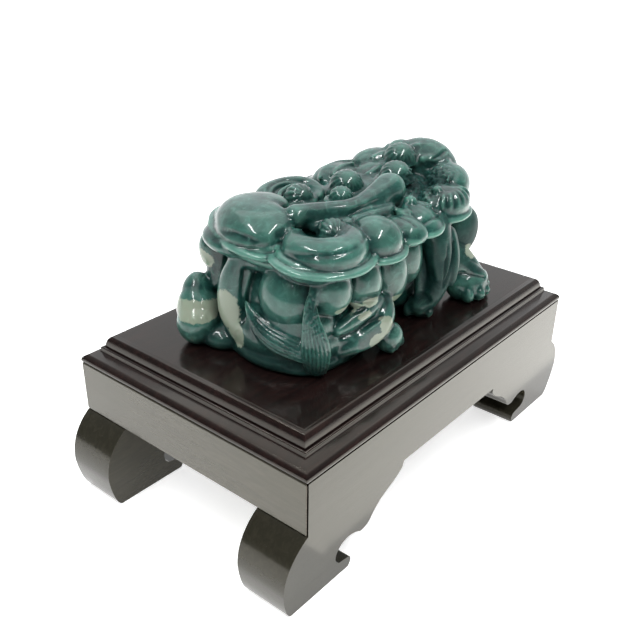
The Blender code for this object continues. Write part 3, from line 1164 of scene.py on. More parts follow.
@dataclass
class RuyiHead(Section):
    """The ruyi head: three lobes, each a smooth raised boss inside a double lip."""

    lip: float = 1.0
    inner_lip: float = 0.75

    def _lips(self, rim: list[Triple], step: float) -> list[Form]:
        """A thin outer lip with a second one inside and above it.

        Args:
            rim: points round the lobe.
            step: how far the second lip stands inside the first.

        Returns:
            Both lips.
        """
        line = np.array(rim)
        heart = line.mean(0)
        inward = unit((heart - line) * (1, 1, 0))
        inner = line + inward * step + (0, 0, 1.1)
        return [
            Strand(rim, [self.lip], 0.8, True, tone=Tone.LIP),
            Strand(inner.tolist(), [self.inner_lip], 0.9, True, tone=Tone.LIP),
        ]

    def forms(self) -> list[Form]:
        """Plates, lips, bosses and curls.

        Returns:
            The ruyi head's forms.
        """
        left_rim = [(-19, 20.6, 26.4), (-25.4, 18.8, 26.4), (-30.4, 13.4, 26.2), (-33.6, 7.6, 26),
                    (-35.6, 1.4, 25.7), (-35.4, -4.2, 25.3), (-32.4, -8.4, 25), (-26, -8.4, 25.2),
                    (-19, -4, 25.4), (-14, 2, 25.8), (-12, 9, 26.2), (-13, 16, 26.4)]
        left_boss = [(-30, -7, 28), (-33.8, -4.6, 27.4), (-35.8, 0.2, 27.2), (-35, 6, 27.2),
                     (-31.8, 11.2, 27.4), (-27, 15.4, 27.8), (-21.4, 16.4, 28.2), (-16.6, 13.8, 28.8),
                     (-14.2, 9, 29.4), (-14.8, 4, 29.8), (-17.6, 0.8, 30), (-21.6, 0.6, 30),
                     (-22, -2.8, 30), (-23.4, -6.8, 29.8)]
        near_boss = Strand(
            [(-26.6, -8.4, 28), (-30, -11.4, 27.2), (-29.8, -16.8, 26.8), (-25.6, -20, 26.8),
             (-20.2, -18.9, 27), (-16.4, -15.4, 27.6), (-14.3, -11.2, 28), (-15, -8, 28.4),
             (-18.2, -7.4, 28.6)],
            [2.6, 3.9, 4.4, 4.5, 3.9, 2.9, 1.8, 1.2, 0.8], 0.92)
        far_boss = Strand(
            [(-14.6, 11.6, 27), (-12, 15.2, 27.4), (-6.6, 16, 27.8), (-1, 14.6, 28), (1, 10.4, 28.2),
             (-0.6, 6.4, 28.4), (-3.8, 4.4, 28.6)],
            [2.4, 3.1, 3.4, 3.1, 2.3, 1.6, 1.0], 0.92)
        near_ball = Lobe((-19.2, -12.4, 28.0), (4.0, 3.9, 3.4),
                         relief=Flutes((0.55, 0.75, -0.2), 16, 0.25, 0.1))
        far_ball = Lobe((-8.8, 6.4, 29.2), (3.6, 3.4, 3), relief=Flutes((-0.2, -0.8, 0.4), 14, 0.25, 0.1))
        return [
            Lobe((-23.8, -13, 23.8), (10.8, 10, 3.6)),
            *self._lips(oval(-23.6, -13.4, 25, 12, 11, 14, 0.7), 1.6),
            Lobe((-25, 5.6, 24.4), (10.8, 12.4, 3.4)),
            *self._lips(left_rim, 1.7),
            Strand([(-34.2, 2, 24.4), (-34, -4, 23.8), (-31.8, -8.6, 23.2), (-29.6, -12, 23.2)],
                   [0.7, 1.0, 1.0, 0.6], tone=Tone.LIP),
            Pad(left_boss, 33.0, 5.5, 3.4),
            Lobe((-5.4, 10.4, 26), (7.6, 7, 3.2)),
            near_boss,
            far_boss,
            near_ball,
            far_ball,
            Strand(oval(-8.8, 7.2, 28.4, 5, 4.6, 12), [0.7], 0.9, True),
            Strand([(-14.2, 5.4, 28.6), (-13.6, 10.6, 29.2), (-8, 13.2, 29.8), (-3, 11, 30)],
                   [0.5, 0.7, 0.7, 0.4]),
            Lobe((-19.8, -4.2, 28.8), (1.9, 1.8, 1.8)),
            Lobe((-16.6, -8.6, 28.4), (1.6, 1.5, 1.5)),
        ]

    def cuts(self) -> list[Cut]:
        """Lines along the bosses, and the hollow of the curl.

        Returns:
            The ruyi head's cuts.
        """
        return [
            Groove([(-32.4, -8.4, 28), (-34.4, -13, 27), (-32.6, -19, 27), (-27.4, -23.6, 27),
                    (-20.4, -22.2, 27), (-14.6, -17.4, 27)], 0.4, 0.5),
            Groove([(-16.6, -17.6, 28), (-12.7, -13.4, 28), (-12, -8.6, 28)], 0.35, 0.5),
            Groove([(-13.4, 8.6, 29), (-11.8, 12.6, 29), (-7.6, 14, 29), (-3.2, 12.2, 29), (-2, 8.4, 29)],
                   0.35, 0.55),
            Groove([(-14.8, 9.8, 29), (-13, 13.6, 29), (-7.6, 15.8, 29.6), (-1.6, 13.6, 30),
                    (-0.4, 8.6, 30)], 0.3, 0.4),
            Groove([(-34, 9.6, 27.5), (-36, 1, 27.2), (-34.4, -5.4, 27), (-31, -8, 27)], 0.45, 0.4),
            Groove([(-30.6, -6, 29), (-27.6, -7.6, 30), (-25, -7.8, 30)], 0.4, 0.4),
            Dimple((-19.6, -1.2, 29.4), 2.0, 1.2),
            Dimple((-22.4, -9.6, 28.6), 2.2, 0.9),
        ]


@dataclass
class RuyiStem(Section):
    """The smooth stem across the top, with its flared end and the fold beside it."""

    thin: float = 2.5
    flare: float = 4.1

    def forms(self) -> list[Form]:
        """Stem, fold and the small curl that holds it.

        Returns:
            The stem's forms.
        """
        thin, flare = self.thin, self.flare
        return [
            Strand([(-22.2, -4.6, 30.7), (-16.1, -6.4, 30.2), (-10.6, -9.8, 30), (-4.6, -10.4, 30.2),
                    (1.4, -9.8, 30.8), (5.4, -9.4, 31)],
                   [thin * 1.15, thin * 1.05, thin, thin * 1.08, flare * 0.84, flare]),
            Strand([(-16.4, -12, 28.8), (-10, -14.4, 29), (-3, -14.2, 29), (2.2, -13, 28.6)],
                   [1.2, 1.9, 1.8, 0.8]),
            Strand([(-20.6, -8, 28.6), (-16.8, -10, 29.2), (-12, -12.4, 29.4)], [1.1, 1.3, 0.9]),
        ]

    def cuts(self) -> list[Cut]:
        """Flats of the stem's top and of its flared end.

        Returns:
            The stem's cuts.
        """
        top = 31 + self.flare
        return [
            Facet((5.2, -9.3, top - 0.6), (-0.1, 0.1, 1), 4.8),
            Facet((0.6, -9.6, top - 1.3), (-0.16, 0.0, 1), 3.6),
            Facet((8.8, -11, 31), (0.8, -0.6, 0.1), 4.4),
            Groove([(-20, -8.4, 29.6), (-14, -12.4, 29.4), (-5, -13, 29.8), (3, -12.2, 30.2)], 0.35, 0.5,
                   span=2.2),
        ]


@dataclass
class CloudLobes(Section):
    """Cloud lobes along both edges of the top, and the small domes between them."""

    rib: float = 0.62

    def _cloud(self, middle: Triple, rx: float, ry: float, rise: float, bead: float,
               side: Side) -> list[Form]:
        """One lobe: a lip, a dome and a small curled bead on its inner side.

        Args:
            middle: the lobe's middle.
            rx: its half size along X.
            ry: its half size along Y.
            rise: how high its dome stands.
            bead: radius of its bead, or 0 for none.
            side: which edge of the top it is on.

        Returns:
            The lobe's forms.
        """
        x, y, z = middle
        sign = side.value
        forms: list[Form] = [
            Lobe((x, y, z - 1.2), (rx, ry, 3.4)),
            Strand(oval(x, y, z - 1.3, rx + 0.2, ry + 0.2, 12, -0.8 * sign), [0.95], 0.8, True,
                   tone=Tone.LIP),
            Lobe((x, y - sign * ry * 0.1, z + rise * 0.2), (rx * 0.8, ry * 0.8, rise)),
        ]
        if bead:
            spot = (x + rx * 0.05, y - sign * ry * 0.4, z + rise * 1.25)
            forms.append(Lobe(spot, (bead, bead, bead)))
            curl = [(x - rx * 0.6, y + sign * ry * 0.1, z + rise),
                    (x - rx * 0.3, y - sign * ry * 0.8, z + rise),
                    (x + rx * 0.6, y - sign * ry * 0.7, z + rise),
                    (x + rx * 0.72, y + sign * ry * 0.1, z + rise * 0.8)]
            forms.append(Strand(curl, [0.7, 0.95, 0.85, 0.6]))
        return forms

    def _ribs(self) -> list[Form]:
        """Rounded ribs up the wall of the lobe beside the cheek.

        Returns:
            The ribs.
        """
        feet = ((11.6, -18.6), (11.6, -20.6), (13.2, -22), (15.4, -22.8), (17.8, -23), (20.4, -22.6),
                (23, -21.4))
        heart = np.array((18, -17.2))
        ribs: list[Form] = []
        for foot in feet:
            inward = unit(heart - np.array(foot))
            levels = ((0.6, 26.0, 0.7), (0.3, 27.6, 1.0), (1.2, 29.4, 1.2), (3.2, 30.2, 1.1),
                      (5.0, 29.4, 0.7))
            path = [(foot[0] + inward[0] * step, foot[1] + inward[1] * step, z) for step, z, _ in levels]
            ribs.append(Strand(path, [size * self.rib for _, _, size in levels]))
        return ribs

    def forms(self) -> list[Form]:
        """Right lobes, petal, left lobes and domes.

        Returns:
            The cloud lobes' forms.
        """
        domes = (((3.6, 2, 29.9), 4.3, 18), ((-4.4, -2.8, 30.2), 2.9, 12), ((13.4, -5.6, 31.6), 4.2, 18),
                 ((23.8, 0.6, 32.6), 4.3, 16))
        forms: list[Form] = [
            Lobe((-11.8, -18.2, 25.8), (6.6, 6.2, 5.5), (0, 0, -10)),
            Strand(oval(-12, -18.4, 24.3, 7.6, 7, 12, 0.8), [0.9], 0.8, True, tone=Tone.LIP),
            Lobe((-2.2, -18.6, 25.2), (4.6, 6.4, 3.4), (0, 0, 14)),
            Strand([(2, -13.4, 28.2), (1, -16.4, 28.4), (0.4, -20.4, 27.2), (-0.6, -22.8, 25.4)],
                   [0.5, 1.1, 1.1, 0.8], tone=Tone.LIP),
            Strand([(-6.2, -21.6, 24.8), (-4.4, -24.2, 24.4), (-1.4, -24.4, 24.6), (0.4, -22, 25.6)],
                   [0.8, 1.2, 1.2, 0.8], tone=Tone.LIP),
            Lobe((-2.8, -20.4, 25.8), (3.6, 3.8, 2.6)),
            *self._cloud((5.2, -17.8, 26), 6.4, 5.8, 2.6, 1.8, Side.RIGHT),
            *self._cloud((17.6, -17, 26.2), 8, 6, 3.0, 0, Side.RIGHT),
            Lobe((17.8, -17.2, 26.6), (7.4, 6.0, 4.0)),
            *self._ribs(),
            Lobe((14.4, -17.2, 30.2), (1.4, 1.4, 1.4)),
            *self._cloud((12.2, 12.4, 26.8), 9.2, 7.2, 3.7, 0, Side.LEFT),
            *self._cloud((24.6, 9.6, 28.4), 9.2, 7.2, 4.0, 0, Side.LEFT),
            Lobe((19, 4.4, 28.6), (6, 5.4, 3.2)),
            Strand([(4.8, 11.4, 29.4), (9.8, 14.6, 30.2), (15, 14.6, 30.6), (18.6, 11.2, 30.6)],
                   [0.6, 1.0, 1.0, 0.6]),
            Strand([(7.4, 9, 30.2), (11.4, 10.8, 31), (15.6, 9.4, 31)], [0.6, 0.9, 0.6]),
            Strand([(5.4, 7.4, 29.4), (9.6, 6.2, 29.8), (12.6, 8.4, 30)], [0.8, 1.3, 0.7]),
            Strand([(12.6, 2.6, 30.4), (17.4, 1.2, 31), (20, 5, 31)], [0.7, 1.2, 0.7]),
            Strand([(20.4, 6.4, 32), (24.4, 5, 32.6), (28.4, 6.2, 32.4)], [0.8, 1.4, 0.8]),
            Lobe((27.2, -12.2, 27.8), (7.6, 5.6, 5.0), (0, 0, 30)),
            Strand([(21.4, -15.6, 31), (26.4, -13.2, 32.4), (31.4, -9.4, 32.4)], [0.6, 1.0, 0.6]),
        ]
        for place, size, ribs in domes:
            relief = Flutes((-0.35, -0.5, 0.8), ribs, 0.2, 0.3)
            forms.append(Lobe(place, (size, size * 0.94, size * 0.9), relief=relief))
            x, y, z = place
            ring = oval(x + 0.4, y + 0.6, z - 1, size + 0.7, size * 0.94 + 0.7, 12)
            forms.append(Strand(ring, [0.6], 0.9, True))
        return forms

    def cuts(self) -> list[Cut]:
        """Curl lines and the stippled hollow before the crown.

        Returns:
            The cloud lobes' cuts.
        """
        return [
            Groove([(8.6, 17.6, 30), (14.4, 18.8, 30), (20.6, 17, 30), (22, 12.4, 31)], 0.3, 0.35),
            Groove([(21.4, 14.8, 31), (27, 15.6, 31.4), (32, 13, 31.6)], 0.3, 0.35),
            Groove([(10.2, -20.8, 28), (6.6, -22.8, 27), (1.4, -21.6, 27)], 0.3, 0.4),
            Groove([(-1.4, -15.4, 29), (-2.6, -20, 28), (-3, -23.4, 26)], 0.35, 0.4),
            Fur((19.4, -10, 30.8), (10.6, 7.4, 4.2), 1.15, 1.0),
            Fur((13, -14.4, 29.6), (5, 3.4, 3), 1.0, 0.8),
            Fur((22, -9, 32), (4.6, 3.6, 3), 0.9, 0.6),
        ]

    def painted_shade(self) -> list[Patch]:
        """Painted shade in the hollows between the lobes.

        Returns:
            The painted shade patches.
        """
        return [
            Patch((18.6, -10.4, 30), (10, 6.6, 4)), Patch((6, -5, 28), (8, 5, 3)),
            Patch((-19, -1.4, 28), (3.4, 3, 3)),
            Patch((-12.6, 1, 28), (5, 4, 2.6)), Patch((-20.6, -9.6, 28), (4, 2.6, 2)),
            Patch((9, 3, 28.6), (6, 4, 2.4)),
        ]


@dataclass
class PixiuHead(Section):
    """The animal's head under the front of the canopy."""

    eye: float = 1.7

    def forms(self) -> list[Form]:
        """Crown, brows, eyes, snout, jaws, ears and beard.

        Returns:
            The head's forms.
        """
        forms: list[Form] = [
            Lobe((32, -1.4, 28.0), (7.4, 10, 8.3)),
            Lobe((29.4, 4.4, 31), (5.4, 4.8, 4.4)),
            Strand([(27.2, 0.4, 34.2), (30.2, -3.4, 35.2), (33.6, -4.8, 33.6)], [1.0, 2.0, 0.8]),
            Strand([(26.4, -5, 32.6), (29.6, -7.6, 32.4), (33, -7.8, 30.6)], [1.2, 2.4, 1.0]),
            Lobe((24, 11.6, 24.6), (8, 6.6, 6)),
            Lobe((31, 0, 17.4), (8.2, 10, 8.6)),
            Lobe((36, 0, 17), (3.6, 3.9, 4)),
            Lobe((35.6, 0, 12.6), (4.2, 6.6, 2.1)),
            Lobe((34.4, 0, 8.2), (4.4, 5.6, 2.5)),
            Lobe((32.6, 0, 5.2), (3.2, 3.8, 4.2)),
            Strand([(38.6, -3.6, 13), (39.4, 0, 12.4), (38.6, 3.6, 13)], [0.7, 0.9, 0.7], face=(1, 0, 0)),
            Strand([(37.4, -4, 9.4), (38.4, 0, 9), (37.4, 4, 9.4)], [0.7, 0.9, 0.7], face=(1, 0, 0)),
            Strand([(38.2, 0, 25.4), (38.8, 0, 21.4), (39, 0, 18)], [1.5, 1.1, 1.4], face=(1, 0, 0)),
        ]
        for i in range(5):
            y = -2.8 + 1.4 * i
            forms.append(Strand([(36, y * 0.9, 7), (36.2, y, 4), (34.8, y * 0.8, 1.2)], [0.7, 0.85, 0.35],
                                face=(1, 0, 0)))
        for side in Side:
            s = side.value
            forms += [
                Lobe((35.4, s * 4.6, 24), (3.4, 4.2, 2.2), (0, 0, s * 24)),
                Lobe((36.5, s * 4.4, 20.9), (self.eye, self.eye, self.eye)),
                Strand([(37.4, s * 2.6, 21), (37.9, s * 4.4, 22.7), (36, s * 6.6, 21)], [0.5, 0.6, 0.5]),
                Strand([(37.4, s * 2.6, 20.8), (37.8, s * 4.4, 19.2), (36, s * 6.4, 20.4)],
                       [0.45, 0.55, 0.4]),
                Lobe((32.6, s * 9.2, 15.6), (4.4, 3.4, 4.8)),
                Lobe((38.4, s * 2.1, 15.6), (1.9, 1.7, 1.5)),
                Strand([(30.4, s * 9.8, 24), (25.4, s * 14, 21), (22.4, s * 14.8, 16.4)], [2.2, 2.4, 1],
                       0.7),
                Strand([(37.4, s * 5, 13.4), (36, s * 7.4, 15.4), (33.4, s * 9.4, 17.4)], [0.6, 0.75, 0.5]),
                Strand([(32, s * 11.6, 12), (30, s * 12.4, 9), (27.4, s * 12, 7)], [1.2, 1.4, 0.6]),
                Strand([(31, s * 10.4, 10.4), (29.6, s * 10.8, 7), (27.6, s * 10.4, 4.4)], [1, 1.2, 0.5]),
            ]
        return forms

    def cuts(self) -> list[Cut]:
        """Crown lines, nostrils, pupils and ear hollows.

        Returns:
            The head's cuts.
        """
        cuts: list[Cut] = [
            Groove([(37.6, -5.4, 30), (39.6, 0, 29.6), (37.6, 5.4, 30)], 0.4, 0.45, (1, 0, 0.4)),
            Groove([(35.6, -7.4, 33), (38.6, -0.6, 33.4), (35.6, 6.4, 33)], 0.35, 0.35, (0.8, 0, 1)),
            Groove([(22.8, -5.6, 36), (27.6, -8.6, 35.6), (33.4, -7.6, 35)], 0.4, 0.45),
            Groove([(21.6, 3.6, 35.4), (26, 7.4, 34.6), (32.6, 7.8, 34)], 0.4, 0.45),
        ]
        for side in Side:
            s = side.value
            cuts += [
                Dimple((40.1, s * 2.2, 15.2), 0.6, 0.9),
                Dimple((38.2, s * 4.5, 20.9), 0.5, 0.45),
                Dimple((25.6, s * 15.4, 20.4), 1.1, 0.8),
                Groove([(39, s * 4.4, 17.6), (37.8, s * 6.4, 16.4), (36, s * 8, 17)], 0.3, 0.35, (1, 0, 0)),
            ]
        return cuts


@dataclass
class Flank(Section):
    """One side's hanging folds, bent hind leg, front leg and the tufts behind it."""

    side: Side
    fold_reach: float

    def forms(self) -> list[Form]:
        """Folds, legs, tufts and paws.

        Returns:
            The flank's forms.
        """
        s = self.side.value
        out = (0, s, 0.2)
        folds = (((-27, 18.6), (4.7, 4.4, 5.8), 19.4), ((-17.2, 18.8), (4.9, 4.8, 6.8), 18.2),
                 ((-7, 18.9), (4.8, 4.6, 7.8), 17.0), ((2.4, 17), (4.4, 4.2, 7.4), 17.4))
        forms: list[Form] = []
        for (x, y), half, z in folds:
            forms.append(Lobe((x, s * (y - 18.6 + self.fold_reach), z), half, (0, -6, 0)))
        forms += [
            Lobe((-18, s * 16.4, 7), (9, 5.4, 6), (0, -16, 0)),
            Strand([(-24.6, s * 18.6, 3.6), (-19.6, s * 21, 4.8), (-14.2, s * 22, 6.6),
                    (-11.2, s * 21.6, 9.6), (-10.2, s * 19, 12.4)], [1.8, 2.9, 3.3, 3.3, 2.3]),
            Strand([(-25.6, s * 19.6, 9.6), (-19.4, s * 20.8, 11.2), (-13.2, s * 20.2, 12.4)],
                   [1.3, 2.4, 2.1]),
            Lobe((-10.9, s * 23.1, 3.2), (3.5, 3.0, 3.8)),
            Strand([(11.6, s * 18.4, 23), (10.8, s * 20.8, 18), (10.8, s * 21.6, 14), (11.6, s * 21.4, 9),
                    (9.8, s * 20.6, 5), (7.8, s * 18.9, 3)], [4.2, 3.5, 3.0, 3.0, 2.9, 2.5]),
            Strand([(11.4, s * 15.5, 20), (8.8, s * 16.8, 15.5), (8.4, s * 18.2, 10.5),
                    (7.2, s * 18.6, 6)], [2.0, 1.8, 1.6, 1.1]),
            Strand([(15, s * 20.8, 20.6), (14.2, s * 23.6, 16), (13.4, s * 24.4, 12),
                    (13.6, s * 23.8, 8.4)], [1.6, 1.5, 1.6, 0.8]),
            Strand([(17.4, s * 19.8, 19.6), (17.2, s * 22.4, 14), (16.4, s * 23, 10)], [1.6, 1.6, 0.7]),
            Strand([(13, s * 20, 21), (12.2, s * 23, 17), (12, s * 23.6, 12.6)], [1.0, 1.2, 0.5]),
            Strand([(8.8, s * 20.4, 20), (8, s * 22, 15.6), (8.6, s * 22.8, 11)], [0.9, 1.1, 0.6]),
            Lobe((8.2, s * 18.6, 2.9), (3.2, 3.1, 3)),
            Lobe((28.6, s * 16.2, 15.9), (6.4, 4.0, 6.7), (0, 6, 0)),
            Strand([(22.6, s * 15, 12), (25.4, s * 18.4, 8.6), (26.8, s * 20.4, 5.2)], [4.8, 5.0, 4.4]),
            Lobe((26, s * 21.2, 3.6), (6.2, 4.6, 5.0), (0, 0, s * 20)),
        ]
        for i in range(3):
            x = 18.4 + 1.9 * i
            path = [(x, s * 16.4, 17 - 3 * i), (x + 1.9, s * 17.6, 12 - 3 * i),
                    (x + 0.8, s * 17, 7 - 2.4 * i)]
            forms.append(Strand(path, [1.6, 1.8, 0.8], face=out, relief=Hair(4, 0.3)))
        for i in range(4):
            forms.append(Lobe((22.4 + 2.9 * i, s * (23.6 + 1.6 * sin(i * 1.2)), 1.9), (1.5, 2.3, 2.0),
                              (0, 0, s * (20 - 16 * i))))
        for i in range(3):
            forms.append(Lobe((6 + 1.5 * i, s * (16.6 + 2.1 * i), 1.7), (2.0, 1.2, 1.9), (0, 0, s * -30)))
            forms.append(Lobe((-12.2 + 2 * i, s * (24.4 - 0.2 * i), 1.6), (1.1, 1.5, 1.7)))
        return forms

    def cuts(self) -> list[Cut]:
        """Flats and lines of the legs and paws.

        Returns:
            The flank's cuts.
        """
        s = self.side.value
        out = (0.0, float(s), 0.15)
        return [
            Facet((-11, s * 24.6, 10), (-0.2, s, 0.45), 5),
            Facet((-17.6, s * 23.4, 6), (-0.35, s, 0.1), 5),
            Facet((-19, s * 22.6, 12.6), (-0.1, s * 0.7, 0.7), 5),
            Facet((10, s * 24.2, 12), (-0.5, s, 0.1), 5),
            Facet((6.2, s * 20.2, 4.4), (-0.7, s * 0.5, 0.6), 3.2),
            Groove([(-26, s * 21, 16), (-23.4, s * 23, 14.6), (-20, s * 23, 15.6)], 0.4, 0.5, out),
            Groove([(-25, s * 21, 13.6), (-21.6, s * 23, 12.6), (-18, s * 23, 13.6)], 0.4, 0.5, out),
            Groove([(14.4, s * 22, 20), (11.6, s * 24, 14), (9.6, s * 24, 8)], 0.4, 0.6, out),
            Groove([(10.6, s * 21, 20), (9.6, s * 23, 14), (9.8, s * 24, 9)], 0.35, 0.5, out),
            Groove([(21, s * 22, 8.6), (24, s * 24, 7), (28, s * 24, 4.4)], 0.35, 0.5,
                   (0.0, float(s), 0.6)),
            Groove([(24, s * 20, 9.6), (27.4, s * 22, 7.6), (31.4, s * 22, 4.4)], 0.35, 0.5,
                   (0.2, float(s), 0.6)),
            Groove([(-26, s * 21, 7.4), (-19, s * 23, 8.4), (-14, s * 24, 10.6)], 0.45, 0.6, out),
        ]

    def painted_shade(self) -> list[Patch]:
        """Painted shade on the leg and under the cheek."""
        s = self.side.value
        return [Patch((11.6, s * 21.6, 12), (8, 6, 13)), Patch((29, s * 18, 14.6), (9, 6, 9))]

    def cream(self) -> list[Patch]:
        """Pale ends of the folds, the shank and the cheek.

        Returns:
            The cream patches.
        """
        s = self.side.value
        return [
            Patch((-14, s * 24, 7.8), (1.8, 3, 2.2)),
            Patch((-16.6, s * 23.8, 4.8), (2.2, 3, 1.7)),
            Patch((-22.4, s * 21.4, 13.6), (3.2, 3.2, 1.3)),
            Patch((-17, s * 22.6, 14), (2.6, 3.2, 1.1)),
            Patch((-7.4, s * 22, 11.4), (3.0, 3, 1.1)),
            Patch((-26.6, s * 22, 15.6), (2.4, 3, 1.1)),
            Patch((-19.6, s * 23, 11.6), (2.2, 2.6, 0.9)),
            Patch((26.4, s * 19.4, 11.2), (3.6, 3.0, 2.4)),
        ]


@dataclass
class Rump(Section):
    """What is seen from behind: bent limb, hanging tassels, hind foot and knob."""

    hair_lines: int = 7

    def forms(self) -> list[Form]:
        """Boulder, limb, tassels and knob.

        Returns:
            The rump's forms.
        """
        return [
            Lobe((-28.4, -9.8, 16), (7.5, 8.4, 8.2), (-10, 0, 0)),
            Lobe((-27.4, -10.2, 10.6), (7.6, 9, 6.6)),
            Lobe((-23.6, -4.8, 5.8), (13.4, 15.4, 9)),
            Lobe((-24.2, -5.2, 1.8), (13, 15, 4.8)),
            Lobe((-32.4, 8.4, 1.8), (5.8, 6.4, 3.4)),
            Strand([(-31.8, 1.2, 23.6), (-33.2, 3.8, 17.6), (-33.6, 4.8, 12.4), (-33.4, 4, 7.4),
                    (-33.4, 0.4, 3)], [3.0, 3.7, 4.0, 3.7, 2.6], 0.84, face=(-1, 0, 0)),
            Strand([(-34.6, -0.8, 13.6), (-35.6, -4.4, 10.4), (-35.8, -9, 8.2), (-34.8, -14, 7.4),
                    (-33, -17.6, 6)], [0.6, 1.9, 2.8, 2.9, 2.2], 0.5, face=(-1, -0.2, 0.5),
                   relief=Hair(self.hair_lines, 0.55)),
            Strand([(-31, -17.4, 23.4), (-32.6, -17.6, 19.4), (-33.2, -18.4, 15), (-33, -19.2, 10.4),
                    (-32.2, -19.3, 6), (-31.2, -18.4, 1.6)], [0.5, 0.9, 1.8, 3.0, 3.7, 2.4], 0.5,
                   face=(-1, -0.8, 0.1), relief=Hair(self.hair_lines + 1, 0.6)),
            Lobe((-33.4, 15.6, 8.8), (4.1, 4.2, 6.2), (-14, 12, 0)),
            Lobe((-35, 14.2, 6.8), (5.0, 5.1, 6.4), (-14, 12, 0)),
            Lobe((-36.4, 12.8, 4.6), (5.1, 5.1, 5.2)),
            Strand([(-27.2, 12.6, 22), (-27.8, 13.2, 17), (-28.8, 13.8, 12.8)], [3.0, 3.3, 3.0]),
        ]

    def cuts(self) -> list[Cut]:
        """Lines on both sides of the limb.

        Returns:
            The rump's cuts.
        """
        back = (-1.0, 0.0, 0.1)
        return [
            Groove([(-35, -0.4, 22), (-36, 0.4, 15), (-36, -0.6, 8)], 0.6, 1.1, back),
            Groove([(-35, 8.2, 20), (-36, 9, 13), (-35, 8.2, 6)], 0.5, 0.6, back),
        ]

    def cream(self) -> list[Patch]:
        """Cream bands on the limb and the knob.

        Returns:
            The cream patches.
        """
        return [
            Patch((-37.6, 3.6, 10.8), (3.6, 4.4, 5.2)),
            Patch((-37, 0.8, 5.4), (2.6, 2.8, 3.2)),
            Patch((-38.4, 11.6, 8.6), (7, 8, 2.2)),
            Patch((-31.4, 15.6, 18.2), (2.6, 3.2, 2.2)),
        ]


# The whole carving


